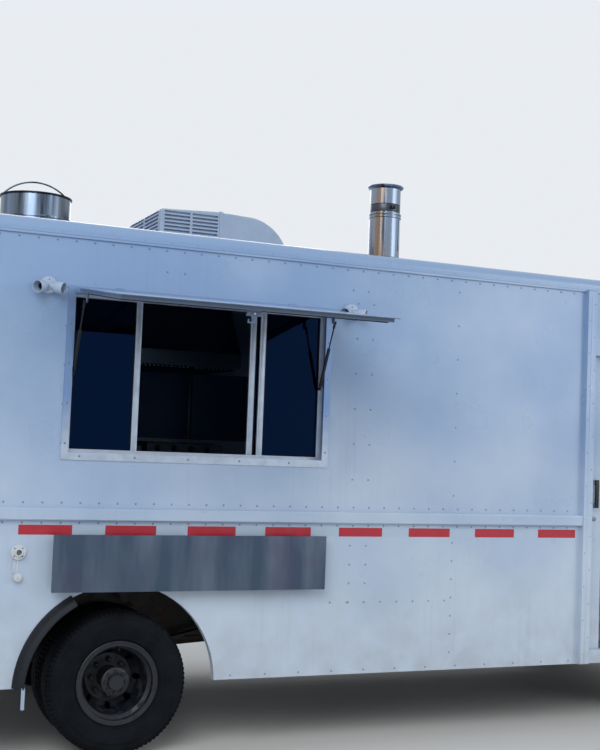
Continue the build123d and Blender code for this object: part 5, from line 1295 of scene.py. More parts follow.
class FOODTRUCK_OT_flap(bpy.types.Operator):
    """Fit the flap's rivets, edge seal, hinge screws and latch screws"""
    bl_idname = "food_truck.flap"
    bl_label = "Fit the flap"

    def execute(self, context):
        half, reach = FLAP["half"], FLAP["reach"]
        # Rivets hold the skin to its frame, from above
        master = new_rivet(FLAP_UP, 4.5, 2)
        spots = [(WINDOW_X + u, out) for u in range(-690, 691, 138) for out in (52, reach - 50)]
        spots += [(WINDOW_X + u, out) for u in (-705, 705) for out in range(150, 760, 120)]
        spots += [(WINDOW_X + u, out) for u in (-350, 0, 350) for out in range(150, 760, 150)]
        rivets = scatter("flap_rivets", master, [on_flap(x, out, FLAP["thick"]) for x, out in spots])
        ride(rivets, "rivet_paint", "serving_hatch")
        # A bulb seal runs under the frame's rim on its three free sides
        corners = [(WINDOW_X - half + 40, 70), (WINDOW_X - half + 40, reach - 62),
                   (WINDOW_X + half - 40, reach - 62), (WINDOW_X + half - 40, 70)]
        seals = [new_rod("seal", on_flap(*a, -FLAP["thick"] - 1), on_flap(*b, -FLAP["thick"] - 1), 5, 10)
                 for a, b in zip(corners, corners[1:])]
        fitted("flap_seal", seals, "gasket_rubber", "serving_hatch")
        # Each hinge leaf is screwed to the wall, and plated on the flap's skin
        wall, leafs = [], []
        for x in HINGES:
            wall += [(x + u, -HALF_WIDTH - 4, FLAP["axis"][1] + 18) for u in (-39, -27, -15, -4)]
            leafs.append(new_block("leaf", (x + 2, x + 43), (-1213, -1222), (2470.5, 2472), 0.5, 1))
        ride(scatter("hinge_screws", new_rivet(RIGHT, 4.8, 2.8), wall), "zinc_screw")
        fitted("flap_hinge_plates", leafs, "mill_aluminium", "serving_hatch")
        # The latch plate is screwed under the rim, and a knob turns its hook
        out = reach - 44
        spot = [on_flap(LATCH_X + u, out + 4.5, -FLAP["thick"] - 15) for u in (-30, 30)]
        screws = scatter("latch_screws", new_rivet(FLAP_OUT, 4.5, 2.2), spot)
        ride(screws, "zinc_screw", "serving_hatch")
        knob = lathe("latch_knob", on_flap(LATCH_X, out + 4.2, -FLAP["thick"] - 16), FLAP_OUT,
                     [(0, 0), (0, 6), (4, 6), (5, 4), (5, 0)], 20)
        ride(knob, "shroud_plastic", "serving_hatch")
        return {"FINISHED"}


STRUTS = (WINDOW_X - 717, WINDOW_X + 717)
STRUT_LOW = Vector((0, -1152, 2015))
STRUT_HIGH = Vector((0, -1329, 2384))


class FOODTRUCK_OT_struts(bpy.types.Operator):
    """Fit the gas struts' gland caps, foot rims and sockets"""
    bl_idname = "food_truck.struts"
    bl_label = "Fit the gas struts"

    def execute(self, context):
        along = (STRUT_HIGH - STRUT_LOW).normalized()
        caps, rims, sockets = [], [], []
        for x in STRUTS:
            low = STRUT_LOW + Vector((x, 0, 0))
            high = STRUT_HIGH + Vector((x, 0, 0))
            caps.append(lathe("gland", low + along * 250, along, [(-14, 9), (-14, 9.8), (-2, 9.8), (1, 8),
                                                                  (1.6, 5), (1.6, 4.6), (-14, 4.6),
                                                                  (-14, 9)], 24))
            rims.append(lathe("foot", low + along * 24, along, [(-8, 5), (-8, 8), (-4, 9.6), (2, 9.8),
                                                                (2, 9), (-8, 5)], 24))
            sockets.append(lathe("socket", high - along * 22, along, [(-14, 4.1), (-14, 6), (-10, 7), (10, 7),
                                                                      (14, 6), (14, 4.1), (-14, 4.1)], 20))
        fitted("strut_gland_caps", caps + rims, "strut_enamel", "strut_tubes")
        fitted("strut_sockets", sockets, "black_plastic", "strut_rods")
        return {"FINISHED"}


SHELF = {"x0": -404, "x1": 1138, "top": 1178, "low": 882, "face": -1258}


class FOODTRUCK_OT_shelf(bpy.types.Operator):
    """Fit the folded shelf's corner welds, stiffening fold and hinge screws"""
    bl_idname = "food_truck.shelf"
    bl_label = "Fit the shelf"

    def execute(self, context):
        top, low, face = SHELF["top"], SHELF["low"], SHELF["face"]
        # Turned corners: the side flanges are welded to the hems and ground flush
        welds = []
        for x in (SHELF["x0"] + 1, SHELF["x1"] - 1):
            for z in (top - 1.5, low + 1.5):
                welds.append(new_rod("weld", (x, face + 2, z), (x, face + 23, z), 2.2, 10))
        fitted("shelf_welds", welds, "zinc_screw", "shelf")
        # A stiffening fold crosses the tray's back behind its face
        fold = new_block("shelf_fold", (SHELF["x0"] + 12, SHELF["x1"] - 12), (face + 3, face + 18),
                         (1020, 1060))
        ride(soften(pressed(fold, LEFT, 8, (0, -9, 0)), 1.2), "brushed_stainless", "shelf")
        screws = [(x - 20, -HALF_WIDTH - 5, z) for x in (-300, 367, 1030) for z in (1092, 1122, 1152)]
        ride(scatter("shelf_hinge_screws", new_rivet(RIGHT, 5, 3), screws), "zinc_screw")
        return {"FINISHED"}


# Roof furniture and wall fittings

class FOODTRUCK_OT_cooler(bpy.types.Operator):
    """Fit the roof cooler's screws, base gasket, fin pack and front ribs"""
    bl_idname = "food_truck.cooler"
    bl_label = "Fit the roof cooler"

    def execute(self, context):
        x0, x1, half, top = 350, 1215, 350, CROWN_Z + 265
        ride(new_band("cooler_gasket", (x0 - 8, x1 + 6), (-half - 8, half + 8), CROWN_Z, 9, 22),
             "gasket_rubber")
        heads = [rivet_lines("cooler_screws", facing, [Line(x0 + 24, y, CROWN_Z + 26, 165, 0, 0, 5)], 6, 3)
                 for facing, y in ((RIGHT, -half - 0.5), (LEFT, half + 0.5))]
        fitted("cooler_screws", heads, "zinc_screw")
        # Behind the slots, the coil's fins show as dark lines
        fins = new_block("cooler_fins", (x0 + 34, x0 + 35.5), (-half + 13.4, -half + 13.9),
                         (top - 236, top - 36))
        fins = row(fins, (6, 0, 0), 58)
        dark = new_block("dark", (x0 + 22, x0 + 385), (-half + 14.5, half - 14.5), (top - 244, top - 30))
        fitted("cooler_fins", [fins, dark], "gasket_rubber")
        # Two shallow ribs run down the shroud
        ribs = []
        for y in (-170, 170):
            ribs.append(new_block("rib", (x0 + 424, x1 - 262), (y - 14, y + 14), (top - 12, top + 3), 5, 3))
        fitted("cooler_ribs", ribs, "shroud_plastic")
        return {"FINISHED"}


def new_band(name, x, y, z, tall, width):
    """A flat ring of rectangular section lying on the roof."""
    ring = new_block(name, x, y, (z, z + tall))
    pick(ring, lambda middle, normal: abs(normal.z) > ALONG)
    inset(width)
    bpy.ops.mesh.bridge_edge_loops()
    done()
    return ring


class FOODTRUCK_OT_fan(bpy.types.Operator):
    """Fit the exhaust fan's rim, curb bolts, guard wires and seam"""
    bl_idname = "food_truck.fan"
    bl_label = "Fit the exhaust fan"

    def execute(self, context):
        x, y, radius, top = -401, -280, 205, 3100
        rim = lathe("fan_rim", (x, y, top), UP, [(-12, radius + 1), (-12, radius + 4), (-6, radius + 9),
                                                 (-1, radius + 8), (0.6, radius + 3), (0.6, radius - 3),
                                                 (-12, radius + 1)], 96)
        ride(rim, "dark_band")
        bolts = ring_of(12, radius + 38, x, y, CROWN_Z + 12, flat=True)
        ride(scatter("fan_curb_bolts", new_bolt(UP, 14, 8), bolts), "zinc_screw")
        # Guard: rings of wire across the drum's mouth, tied by four spokes
        guard = []
        for r in (60, 90, 120, 150, 180):
            deselect()
            bpy.ops.mesh.primitive_torus_add(location=at(x, y, top - 5), major_radius=r * MM,
                                             minor_radius=2 * MM, major_segments=64, minor_segments=6)
            guard.append(settle("wire"))
        spokes = zip(*[ring_of(4, r, x, y, top - 8, flat=True) for r in (58, 198)])
        guard += [new_rod("wire", inner, outer, 2.5, 8) for inner, outer in spokes]
        fitted("fan_guard", guard, "zinc_screw")
        ride(new_block("fan_seam", (x - 6, x + 6), (y - radius - 2.2, y - radius + 1), (2974, 3086), 1),
             "drum_stainless")
        return {"FINISHED"}


class FOODTRUCK_OT_stack(bpy.types.Operator):
    """Fit the vent stack's clamp, seam and flashing screws"""
    bl_idname = "food_truck.stack"
    bl_label = "Fit the vent stack"

    def execute(self, context):
        x, y, radius, joint = 1789, -580, 100, 3206
        clamp = lathe("stack_clamp", (x, y, joint + 26), UP, [(-23, radius - 7), (-23, radius - 3.5),
                                                              (-20, radius - 2.5), (20, radius - 2.5),
                                                              (23, radius - 3.5), (23, radius - 7),
                                                              (-23, radius - 7)], 72)
        ears = [new_block("ear", (x + u, x + u + 4), (y - radius - 20, y - radius + 6),
                          (joint + 14, joint + 38)) for u in (-11, 7)]
        bolt = new_rod("bolt", (x - 18, y - radius - 11, joint + 26), (x + 20, y - radius - 11, joint + 26),
                       4, 12)
        nut = new_rod("nut", (x + 11, y - radius - 11, joint + 26), (x + 18, y - radius - 11, joint + 26),
                      8, 6)
        fitted("stack_clamp", [clamp, *[soften(e, 1) for e in ears], bolt, nut], "smoked_band")
        ride(new_block("stack_seam", (x + 60, x + 66), (y - 83, y - 75), (CROWN_Z + 90, joint - 46), 1),
             "drum_stainless")
        screws = ring_of(10, 154, x, y, CROWN_Z + 8, flat=True)
        ride(scatter("flashing_screws", new_rivet(UP, 6, 4), screws), "zinc_screw")
        return {"FINISHED"}


class FOODTRUCK_OT_fittings(bpy.types.Operator):
    """Build the twin floodlight cups and fit the water inlet's screws, thread and cap"""
    bl_idname = "food_truck.fittings"
    bl_label = "Fit the wall fittings"

    def execute(self, context):
        wall = -HALF_WIDTH
        sockets, cups, screws = [], [], []
        for x in (WINDOW_X - 880, WINDOW_X + 880):
            cups.append(lathe("box", (x, wall, 2470), RIGHT, [(0, 0), (0, 46), (20, 46), (27, 42), (29, 36),
                                                              (29, 0)], 40))
            screws += [(x, wall - 29, 2470 + v) for v in (-28, 28)]
            for turn in (-1, 1):
                # Each empty cup leans outwards and a little down from its round box
                axis = Vector((turn * 0.78, -0.6, -0.17)).normalized()
                start = Vector((x, wall - 18, 2466))
                cups.append(lathe("cup", start, axis, [(14, 0), (14, 15), (34, 15), (38, 26), (46, 31),
                                                       (86, 33), (88, 33), (88, 30), (46, 28), (42, 0)],
                                  40))
                sockets.append(lathe("socket", start + axis * 43, axis,
                                     [(0, 0), (0, 19), (14, 19), (14, 14), (4, 13), (4, 0)], 24))
        fitted("floodlight_sockets", sockets, "black_plastic")
        fitted("floodlight_cups", cups, "lamp_plastic", replaces=("floodlights",))
        ride(scatter("floodlight_screws", new_rivet(RIGHT, 4, 2.5), screws), "zinc_screw")

        x, z = -572, 1083
        holes = ring_of(4, 29, x, wall - 14, z, start=0.785)
        ride(scatter("inlet_screws", new_rivet(RIGHT, 4.5, 2.4), holes), "zinc_screw")
        thread = [(-2, 14.2), *[(2 + 3 * n + step, 14.2 if step else 12.6) for n in range(5)
                                for step in (0, 1.5)], (17, 14.2), (-2, 14.2)]
        ride(lathe("inlet_thread", (x, wall - 16, z), RIGHT, thread, 36), "zinc_screw")
        cap = lathe("inlet_cap", (x, wall - 22, z - 128), RIGHT,
                    [(0, 0), (0, 16), (1.5, 20), (3.5, 20), (4.5, 17), (4.5, 6), (7, 5), (7, 0)], 32)
        ends = zip(*[ring_of(12, 23, x, wall - reach, z - 128) for reach in (3, 20)])
        grips = [new_rod("grip", inner, outer, 2, 8) for inner, outer in ends]
        fitted("inlet_cap_face", [cap, *grips], "inlet_plastic")
        cord = wire("inlet_strap", [(x - 26, wall - 6, z - 20), (x - 44, wall - 10, z - 60),
                                    (x - 30, wall - 8, z - 100), (x - 12, wall - 6, z - 118)], 2.2)
        ride(cord, "inlet_plastic")
        return {"FINISHED"}


# Doors, glass and lamps

class FOODTRUCK_OT_cab_doors(bpy.types.Operator):
    """Fit the sliding cab doors' window rubbers, handles and locks"""
    bl_idname = "food_truck.cab_doors"
    bl_label = "Fit the cab doors"

    def execute(self, context):
        for side, middle in (("right", 2788), ("left", 3360)):
            sign, body = SIDES[side], f"cab_door_{side}"
            out, inward = (0, sign, 0), (0, -sign, 0)
            rubbers = [new_panel("rubber", (middle, sign * 1115.5, 1915), out, 560, 740, 60, 8, 14, 1.5),
                       new_panel("rubber", (middle, sign * 1109.5, 1915), inward, 560, 740, 60, 8, 14, 1.5)]
            fitted(f"cab_door_rubber_{side}", rubbers, "gasket_rubber", body)
            front = middle + 355
            grip = new_block("grip", (front - 72.7, front - 45.3), (sign * 1149.3, sign * 1160.7),
                             (1360.3, 1538.7))
            feet = [new_block("foot", (front - 70, front - 48), (sign * 1130.2, sign * 1150),
                              (z - 14, z + 14)) for z in (1375, 1524)]
            grips = joined(f"cab_door_grip_{side}", [soften(part, 1.8) for part in (grip, *feet)])
            ride(grips, "black_plastic", body)
            lock = lathe(f"cab_door_lock_{side}", (front - 59, sign * 1130, 1290), out,
                         [(2.5, 0), (2.5, 5), (4.5, 6), (4.5, 13), (3, 16), (-1, 16), (-1, 0)], 32)
            ride(lock, "zinc_screw", body)
        return {"FINISHED"}


class FOODTRUCK_OT_rear_doors(bpy.types.Operator):
    """Fit the rear doors' window rubbers, lock plates and rivets"""
    bl_idname = "food_truck.rear_doors"
    bl_label = "Fit the rear doors"

    def execute(self, context):
        for side, sign in SIDES.items():
            body, outer = f"rear_door_{side}", -1431
            rubbers = [new_panel("rubber", (outer, sign * 313, 1950), REAR, 424, 544, 60, 6, 28, 2),
                       new_panel("rubber", (-1399, sign * 313, 1950), FRONT, 424, 544, 60, 3, 28, 1)]
            fitted(f"rear_door_rubber_{side}", rubbers, "gasket_rubber", body)
            plate = new_panel(f"rear_door_lock_plate_{side}", (outer, sign * 50, 1290), REAR, 58, 290, 12,
                              2.5, edge=0.8)
            barrel = lathe("barrel", (outer - 2.5, sign * 50, 1290), REAR,
                           [(4, 0), (4, 4), (7, 5), (7, 12), (5, 14), (-1, 14), (-1, 0)], 32)
            fitted(plate.name, [plate, barrel], "zinc_screw", body)
            lines = [Line(outer, sign * y, 790, 0, 0, 202, 10) for y in (20, 604)]
            lines += [Line(outer, sign * 104, z, 0, sign * 100, 0, 5) for z in (768, 1480, 2604)]
            ride(rivet_lines(f"rear_door_rivets_{side}", REAR, lines, 5.5, 2.6), "rivet_paint", body)
        return {"FINISHED"}


SCREEN = Vector((4502.5, 0, 2073.5))
SCREEN_OUT = Vector((1347, 0, 315)).normalized()
SCREEN_UP = Vector((-315, 0, 1347)).normalized()


def on_screen(across, up, out):
    """A point over the windshield: across the truck, up the slope, out from its face."""
    return SCREEN + Vector((0, across, 0)) + SCREEN_UP * up + SCREEN_OUT * out


class FOODTRUCK_OT_glazing(bpy.types.Operator):
    """Fit the rubbers of the windshield and the quarter windows, and the wipers"""
    bl_idname = "food_truck.glazing"
    bl_label = "Fit the cab's glazing"

    def execute(self, context):
        rubbers, blades, arms = [], [], []
        for side, sign in SIDES.items():
            rubbers.append(new_panel("rubber", on_screen(sign * 545, 0, 0), SCREEN_OUT, 1036, 1106, 83, 7,
                                     36, 2.5))
            quarter = new_panel(f"quarter_rubber_{side}", (4170, sign * HALF_WIDTH, 1820), (0, sign, 0),
                                684, 704, 70, 6, 30, 2, lean=-150)
            ride(quarter, "gasket_rubber")
            # The wiper parks low on the glass: its blade hangs from a bow, its arm springs from the scuttle
            blades.append(new_rod("blade", on_screen(sign * 150, -478, -11),
                                  on_screen(sign * 800, -442, -11), 5, 4))
            blades.append(new_rod("bow", on_screen(sign * 250, -472, -3), on_screen(sign * 700, -448, -3),
                                  4, 8))
            arms.append(wire("arm", [on_screen(sign * 330, -585, 16), on_screen(sign * 350, -570, 20),
                                     on_screen(sign * 420, -500, 16), on_screen(sign * 475, -460, 2)], 5))
            arms.append(lathe("pivot", on_screen(sign * 330, -585, 0), SCREEN_OUT,
                              [(24, 0), (24, 9), (20, 13), (6, 14), (4, 20), (0, 20), (-4, 20), (-4, 0)], 28))
        fitted("windshield_rubber", rubbers, "gasket_rubber")
        fitted("wiper_blades", blades, "gasket_rubber")
        fitted("wiper_arms", arms, "black_plastic")
        return {"FINISHED"}


class FOODTRUCK_OT_headlamps(bpy.types.Operator):
    """Build the headlamps: bezel, mirrored bowl, bulb and domed lens"""
    bl_idname = "food_truck.headlamps"
    bl_label = "Build the headlamps"

    def execute(self, context):
        bezels, lenses = [], []
        for sign in (-1, 1):
            spot = (NOSE_X, sign * 760, 850)
            bezels.append(lathe("bezel", spot, FRONT, [(1, 109), (8, 109), (13, 104), (13, 96), (7, 84),
                                                       (1, 83), (1, 109)], 72))
            bezels.append(lathe("bowl", spot, FRONT, [(-60, 0), (-58, 22), (-44, 52), (-20, 78), (2, 88),
                                                      (2, 91), (-22, 82), (-47, 55), (-62, 24), (-63, 0)],
                                48))
            bezels.append(lathe("bulb", spot, FRONT, [(-14, 0), (-20, 6), (-28, 9), (-59, 9), (-59, 0)], 24))
            lenses.append(lathe("lens", spot, FRONT, [(16, 0), (14, 40), (9, 70), (4, 84), (0, 84), (5, 68),
                                                      (10, 39), (12, 0)], 64))
        fitted("headlamp_bowls", bezels, "chrome", replaces=("headlamps",))
        fitted("headlamp_lenses", lenses, "lens_clear")
        return {"FINISHED"}


class FOODTRUCK_OT_signals(bpy.types.Operator):
    """Build the clearance, tail and reversing lamps, each lens on its base"""
    bl_idname = "food_truck.signals"
    bl_label = "Build the signal lamps"

    def execute(self, context):
        bases, amber, red, clear = [], [], [], []
        for y in (-950, -130, 0, 130, 950):
            amber.append(new_block("lens", (4366, 4383), (y - 43, y + 43), (2750, 2766), 6, 3))
            bases.append(new_block("base", (4362, 4370), (y - 47, y + 47), (2747.5, 2768.5), 3))
            red.append(new_block("lens", (REAR_X - 16, REAR_X - 2), (y - 43, y + 43), (2669, 2695), 6, 3))
            bases.append(new_block("base", (REAR_X - 6, REAR_X), (y - 47, y + 47), (2665, 2699), 2))
        for sign in (-1, 1):
            tail, reverse = (REAR_X, sign * 960, 680), (REAR_X, sign * 830, 680)
            red.append(lathe("lens", tail, REAR, [(31, 0), (32, 8), (30, 16), (32, 24), (30, 32), (30, 40),
                                                  (25, 49), (3, 52), (1, 52), (1, 0)], 56))
            clear.append(lathe("lens", reverse, REAR, [(25, 0), (26, 8), (24, 16), (26, 24), (24, 32),
                                                       (20, 42), (3, 46), (1, 46), (1, 0)], 56))
            for spot, radius in ((tail, 52), (reverse, 46)):
                bases.append(lathe("base", spot, REAR, [(0, radius), (7, radius + 0.5), (9, radius + 3),
                                                        (4, radius + 6), (0, radius + 6.5), (0, radius)],
                                   56))
        fitted("clearance_lenses_front", amber, "lens_amber", replaces=("signal_lamps",))
        fitted("rear_lenses", red, "lens_red")
        fitted("reversing_lenses", clear, "lens_clear")
        fitted("lamp_bases", bases, "black_plastic")
        return {"FINISHED"}


class FOODTRUCK_OT_front(bpy.types.Operator):
    """Fit the grille's stone guard and bolts, and the rear bumper's tread strip and bolts"""
    bl_idname = "food_truck.front"
    bl_label = "Fit the grille and bumpers"

    def execute(self, context):
        wires = [row(new_rod("wire", (4849, -400, 652), (4849, -400, 1048), 1.3, 6), (0, 16, 0), 51),
                 row(new_rod("wire", (4850.5, -408, 660), (4850.5, 408, 660), 1.3, 6), (0, 0, 16), 24)]
        fitted("grille_guard", wires, "zinc_screw")
        corners = [(4895, y, z) for y in (-392, 392) for z in (668, 1032)]
        ride(scatter("grille_bolts", new_bolt(FRONT, 15, 7), corners), "zinc_screw")
        ride(new_block("step_strip", (-1514, -1414), (-1106, 1106), (560, 562.5), 0.8), "tread_plate")
        bolts = [(-1502 + 76 * n, y, 562.5) for n in (0, 1) for y in range(-1080, 1081, 216)]
        ride(scatter("step_bolts", new_bolt(UP, 14, 5), bolts), "zinc_screw")
        return {"FINISHED"}


class FOODTRUCK_OT_mirrors(bpy.types.Operator):
    """Fit the mirrors' glasses, round spot mirrors, clamps and foot bolts"""
    bl_idname = "food_truck.mirrors"
    bl_label = "Fit the mirrors"

    def execute(self, context):
        for side, sign in SIDES.items():
            y = sign * 1330
            glass = new_panel("glass", (4484, y, 1925), REAR, 174, 270, 26, 1.8, edge=0.6)
            spot = lathe("spot", (4484, y, 1742), REAR, [(7, 0), (5.5, 20), (2.5, 34), (0, 36), (0, 0)], 48)
            fitted(f"mirror_glass_{side}", [glass, spot], "mirror_glass")
            clamps = [lathe("clamp", (4480, y, z), UP, [(-16, 10), (-16, 14), (-12, 15.5), (12, 15.5),
                                                        (16, 14), (16, 10), (-16, 10)], 24)
                      for z in (1440, 2240)]
            fitted(f"mirror_clamps_{side}", clamps, "black_plastic")
            bolts = [(x, sign * (HALF_WIDTH + 14), z + v) for x in (4164, 4196) for z in (1430, 2250)
                     for v in (-24, 24)]
            ride(scatter(f"mirror_bolts_{side}", new_bolt((0, sign, 0), 13, 6), bolts), "zinc_screw")
        return {"FINISHED"}


# Cab

VOXEL = 0.009
CLOTH_PRESSURE, CLOTH_STEPS = 4, 20
SEAM_REACH, SEAM_DEPTH = 16, 9


def new_cushion(name, x, y, z, radius, grow, seams, across):
    """A stuffed pad: a rounded block blown up as cloth, its growth capped, then sewn in along its seams."""
    pad = new_block(name, x, y, z, radius, 5)
    modify(pad, "REMESH", mode="VOXEL", voxel_size=VOXEL)
    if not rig.quick():
        rest = [vertex.co.copy() for vertex in pad.data.vertices]
        cloth = pad.modifiers.new("cloth", "CLOTH")
        cloth.settings.use_pressure = True
        cloth.settings.uniform_pressure_force = CLOTH_PRESSURE
        cloth.settings.effector_weights.gravity = 0
        scene = bpy.context.scene
        for step in range(1, CLOTH_STEPS + 1):
            scene.frame_set(step)
        blown = pad.evaluated_get(bpy.context.evaluated_depsgraph_get())
        swollen = [vertex.co.copy() for vertex in blown.data.vertices]
        pad.modifiers.remove(cloth)
        scene.frame_set(1)
        for vertex, before, after in zip(pad.data.vertices, rest, swollen):
            move = after - before
            vertex.co = before + move * min(1, grow * MM / max(move.length, 1e-9))
    # Sewn channels pull the cover in
    for vertex in pad.data.vertices:
        place = (vertex.co - ORIGIN) / MM
        for line in seams:
            gap = abs(place[across] - line)
            if gap < SEAM_REACH:
                vertex.co -= vertex.normal * SEAM_DEPTH * MM * (1 - gap / SEAM_REACH) ** 2
    modify(pad, "SUBSURF", levels=1, render_levels=1)
    bpy.ops.object.shade_smooth()
    return pad


class FOODTRUCK_OT_seat(bpy.types.Operator):
    """Build the driver's seat: stuffed cushions on a bellows base"""
    bl_idname = "food_truck.seat"
    bl_label = "Build the driver's seat"

    def execute(self, context):
        cushion = new_cushion("seat_cushion", (3212, 3648), (332, 768), (1050, 1148), 34, 10, (478, 622), 1)
        ride(cushion, "seat_vinyl", replaces=("driver_seat",))
        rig.padded(cushion, 0.7)
        back = new_cushion("seat_back", (3180, 3270), (342, 758), (1172, 1768), 34, 9, (478, 622), 1)
        ride(back, "seat_vinyl")
        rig.padded(back, 0.7)
        pan = new_block("pan", (3225, 3635), (345, 755), (1036, 1050), 5)
        shell = new_block("shell", (3171, 3181), (352, 748), (1140, 1758), 4)
        ears = [new_block("ear", (3176, 3262), (y - 5, y + 5), (1040, 1190), 4) for y in (337, 763)]
        base = new_block("base", (3322, 3488), (462, 638), (766, 780), 3)
        fitted("seat_frame", [pan, shell, *ears, base], "chassis_enamel")
        # Rubber folds hide the spring of the base
        fold = new_block("fold", (3332, 3478), (472, 628), (780, 796))
        pick(fold, lambda middle, normal: normal.z > ALONG)
        extrude((0, 0, 8))
        bpy.ops.transform.resize(value=(1.12, 1.12, 1))
        extrude((0, 0, 8))
        bpy.ops.transform.resize(value=(1 / 1.12, 1 / 1.12, 1))
        done()
        ride(soften(row(fold, (0, 0, 32), 8), 1.5), "gasket_rubber")
        return {"FINISHED"}


class FOODTRUCK_OT_controls(bpy.types.Operator):
    """Fit the horn pad and the gauges"""
    bl_idname = "food_truck.controls"
    bl_label = "Fit the controls"

    def execute(self, context):
        axis = Vector((-0.6, 0, 0.8))
        hub = Vector((3980, 550, 1440))
        pad = lathe("horn_pad", hub, axis, [(31, 0), (30, 26), (25, 37), (14, 42), (-4, 42), (-4, 0)], 40)
        ride(pad, "seat_vinyl")
        rings, faces, hands = [], [], []
        x, z = 4330, 1285
        for y, radius in ((430, 34), (550, 52), (670, 34)):
            spot = (x, y, z)
            rings.append(lathe("ring", spot, REAR, [(0, radius), (9, radius), (11, radius + 3),
                                                    (8, radius + 7), (0, radius + 8), (0, radius)], 48))
            faces.append(lathe("face", spot, REAR, [(3, 0), (3, radius), (0, radius), (0, 0)], 48))
            hands.append(new_rod("hand", (x - 4, y, z), (x - 4, y + radius * 0.55, z + radius * 0.5),
                                 1.5, 6))
            for mark in range(11):
                angle = math.radians(-40 + 26 * mark)
                inner, outer = [(4326.4, y + radius * part * math.cos(angle),
                                 z + radius * part * math.sin(angle)) for part in (0.8, 0.93)]
                hands.append(new_rod("mark", inner, outer, 1, 6))
        fitted("gauge_rings", rings, "chrome")
        fitted("gauge_faces", faces, "black_plastic")
        fitted("gauge_hands", hands, "lamp_plastic")
        return {"FINISHED"}


# Galley

# Units with fronts on the aisle: name, rear end, front end, side, top, doors
UNITS = (("counter", -1150, 2300, -1, 1590, 7), ("griddle", -1150, -640, 1, 1665, 1),
         ("range", -600, 560, 1, 1640, 2), ("fryer", 600, 1150, 1, 1665, 2),
         ("fridge", 1600, 2280, 1, 2500, 2))
AISLE = 535


class FOODTRUCK_OT_galley(bpy.types.Operator):
    """Fit the galley's doors, handles, knobs, griddle plate, burners, fryer pots and hood baffles"""
    bl_idname = "food_truck.galley"
    bl_label = "Fit the galley"

    def execute(self, context):
        fronts, handles, knobs = [], [], []
        for unit, x0, x1, sign, top, doors in UNITS:
            low, high, wide = 879, top - 64, (x1 - x0 - 60) / doors
            for n in range(doors):
                a, b = x0 + 30 + wide * n + 2, x0 + 30 + wide * (n + 1) - 2
                front = new_block("front", (a, b), (sign * (AISLE + 3), sign * (AISLE + 24)), (low, high))
                pick(front, lambda middle, normal: normal.y * sign < -ALONG)
                inset(22)
                inset(3, -4)
                done()
                fronts.append(soften(front, 1.2))
                grip = sign * (AISLE - 16)
                handles.append(new_rod("bar", (a + 60, grip, high - 50), (b - 60, grip, high - 50), 6, 12))
                handles += [new_rod("post", (x, grip, high - 50), (x, sign * (AISLE + 4), high - 50), 5, 10)
                            for x in (a + 80, b - 80)]
            if unit in ("griddle", "range", "fryer"):
                knobs += [lathe("knob", (x, sign * AISLE, top - 32), (0, -sign, 0),
                                [(24, 0), (24, 11), (20, 14), (6, 16), (4, 21), (0, 21), (0, 0)], 24)
                          for x in range(x0 + 75, x1 - 40, 120)]
        fitted("galley_fronts", fronts, "galley_stainless")
        fitted("galley_handles", handles, "chrome")
        fitted("galley_knobs", knobs, "black_plastic")

        plate = new_block("griddle_plate", (-1130, -660), (556, 1110), (1665, 1690))
        hobs = [soften(pressed(plate, UP, 14, (0, 0, -16)), 1.5)]
        for x in (-420, -20, 380):
            for y in (700, 980):
                hobs.append(lathe("burner", (x, y, 1640), UP, [(14, 0), (14, 30), (10, 42), (2, 46),
                                                               (0, 46), (0, 0)], 32))
                bars = row(new_block("bar", (x - 120, x - 112), (y - 120, y + 120), (1652, 1664)),
                           (58, 0, 0), 5)
                rails = row(new_block("bar", (x - 122, x + 122), (y - 122, y - 114), (1641, 1654)),
                            (0, 236, 0), 2)
                hobs += [soften(bars, 1.5), soften(rails, 1.5)]
        for x in (640, 890):
            pot = new_block("pot", (x, x + 220), (600, 1060), (1665, 1674))
            hobs.append(soften(pressed(pot, UP, 12, (0, 0, -7)), 1.5))
        fitted("galley_hobs", hobs, "cast_iron")
        baffles = new_block("hood_baffles", (-1070, -1054), (410, 1100), (2186, 2199.5))
        ride(soften(row(baffles, (30, 0, 0), 75), 2), "galley_stainless")
        # Washable board lines the ceiling and the left wall, joined by cover strips; its dark navy is painted shade of
        # the unlit galley
        pitch, ceiling, wall = 600, 2789, 1129
        boards = [row(new_block("board", x, y, z), (pitch, 0, 0), count) for x, y, z, count in (
            ((-1300, -704), (-1126, 368), (ceiling, ceiling + 7), 6),
            ((1216, 1812), (372, 1126), (ceiling, ceiling + 7), 2),
            ((-1300, -704), (wall, wall + 5.5), (1700, 2196), 6),
        )]
        fitted("galley_boards", [soften(board, 1.5) for board in boards], "wall_liner")
        strips = [row(new_block("strip", (-716, -688), y, z), (pitch, 0, 0), 5) for y, z in (
            ((-1126, 368), (ceiling - 3, ceiling)),
            ((wall - 2.5, wall), (1700, 2196)),
        )]
        fitted("galley_strips", [soften(strip, 0.8) for strip in strips], "galley_stainless")
        return {"FINISHED"}


# Underbody

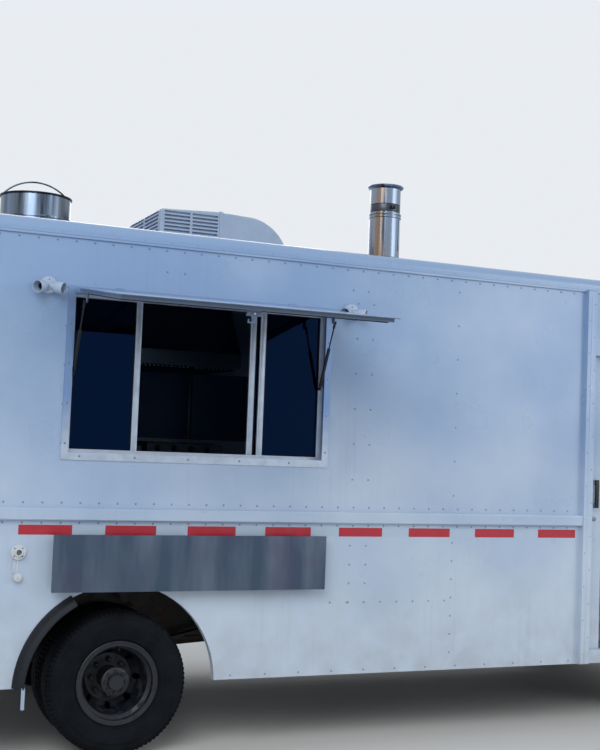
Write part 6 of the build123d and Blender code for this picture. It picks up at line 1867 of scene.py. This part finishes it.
class FOODTRUCK_OT_underbody(bpy.types.Operator):
    """Fit the springs' U-bolts and leaf clips, and the shock absorbers"""
    bl_idname = "food_truck.underbody"
    bl_label = "Fit the underbody"

    def execute(self, context):
        bolts, clips, shocks = [], [], []
        for x, pad, drop in ((0, 442, 110), (WHEELBASE, 390, 120)):
            for sign in (-1, 1):
                for dx in (-34, 34):
                    legs = [(x + dx, sign * (520 + dy), z) for dy, z in ((-37, pad - drop), (-37, pad + 42),
                                                                         (37, pad + 42), (37, pad - drop))]
                    bolts += [new_rod("leg", a, b, 7, 10) for a, b in zip(legs, legs[1:])]
                    bolts += [new_rod("nut", legs[i], (legs[i][0], legs[i][1], legs[i][2] + 14), 13, 6)
                              for i in (0, 3)]
                bolts.append(new_block("plate", (x - 52, x + 52), (sign * 474, sign * 566),
                                       (pad - drop + 14, pad - drop + 24), 2))
                for dx in (-230, 230):
                    lift = 100 * (dx / 700) ** 2 + (8 if x else 2)
                    clips.append(new_block("clip", (x + dx - 14, x + dx + 14), (sign * 485, sign * 555),
                                           (pad + 4 + lift, pad + 40 + lift), 2))
                low, high = Vector((x - 95, sign * 350, pad - 60)), Vector((x - 170, sign * 352, 690))
                along = (high - low).normalized()
                shocks.append(lathe("shock", low, along, [(0, 0), (0, 16), (20, 18), (24, 25), (170, 25),
                                                          (172, 30), ((high - low).length, 30),
                                                          ((high - low).length, 0)], 28))
        fitted("spring_bolts", bolts + clips, "chassis_enamel")
        fitted("shock_absorbers", shocks, "black_plastic")
        return {"FINISHED"}


class FOODTRUCK_OT_edging(bpy.types.Operator):
    """Hang the loose edging from the torn flare"""
    bl_idname = "food_truck.edging"
    bl_label = "Dress the torn flare"

    def execute(self, context):
        strip = new_block("loose_edging", (-528.4, -509.6), (-1230, -1223), (289, 399))
        pick(strip, everything)
        bpy.ops.mesh.subdivide(number_cuts=5)
        done()
        ride(soften(strip, 1.2), "lamp_plastic")
        return {"FINISHED"}


# Panel and registration

class FOODTRUCK_PT_panel(bpy.types.Panel):
    """Lists the truck's settings and the steps that dress it"""
    bl_label = "Food truck"
    bl_idname = "FOODTRUCK_PT_panel"
    bl_space_type = "VIEW_3D"
    bl_region_type = "UI"
    bl_category = "Food truck"

    def draw(self, context):
        for group in (context.scene.food_truck_look, context.scene.food_truck_stage):
            box = self.layout.box()
            for name in group.bl_rna.properties.keys():
                if name not in ("rna_type", "name"):
                    box.prop(group, name)
        for step in STEPS:
            self.layout.operator(step.bl_idname)


STEPS = [value for name, value in list(globals().items()) if name.startswith("FOODTRUCK_OT_")]
CLASSES = [TruckLook, StageLook, *STEPS, FOODTRUCK_PT_panel]


def register():
    for item in CLASSES:
        bpy.utils.register_class(item)
    bpy.types.Scene.food_truck_look = bpy.props.PointerProperty(type=TruckLook)
    bpy.types.Scene.food_truck_stage = bpy.props.PointerProperty(type=StageLook)


def unregister():
    del bpy.types.Scene.food_truck_stage
    del bpy.types.Scene.food_truck_look
    for item in reversed(CLASSES):
        bpy.utils.unregister_class(item)


def main():
    register()
    sizes = {"cad": [list(corner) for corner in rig.bounds()]}
    for step in STEPS:
        getattr(bpy.ops.food_truck, step.bl_idname.removeprefix("food_truck."))()
    deselect()
    sizes["visual"] = [list(corner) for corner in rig.bounds()]
    with open("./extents.json", "w") as out:
        json.dump(sizes, out)


if __name__ == "__main__":
    main()
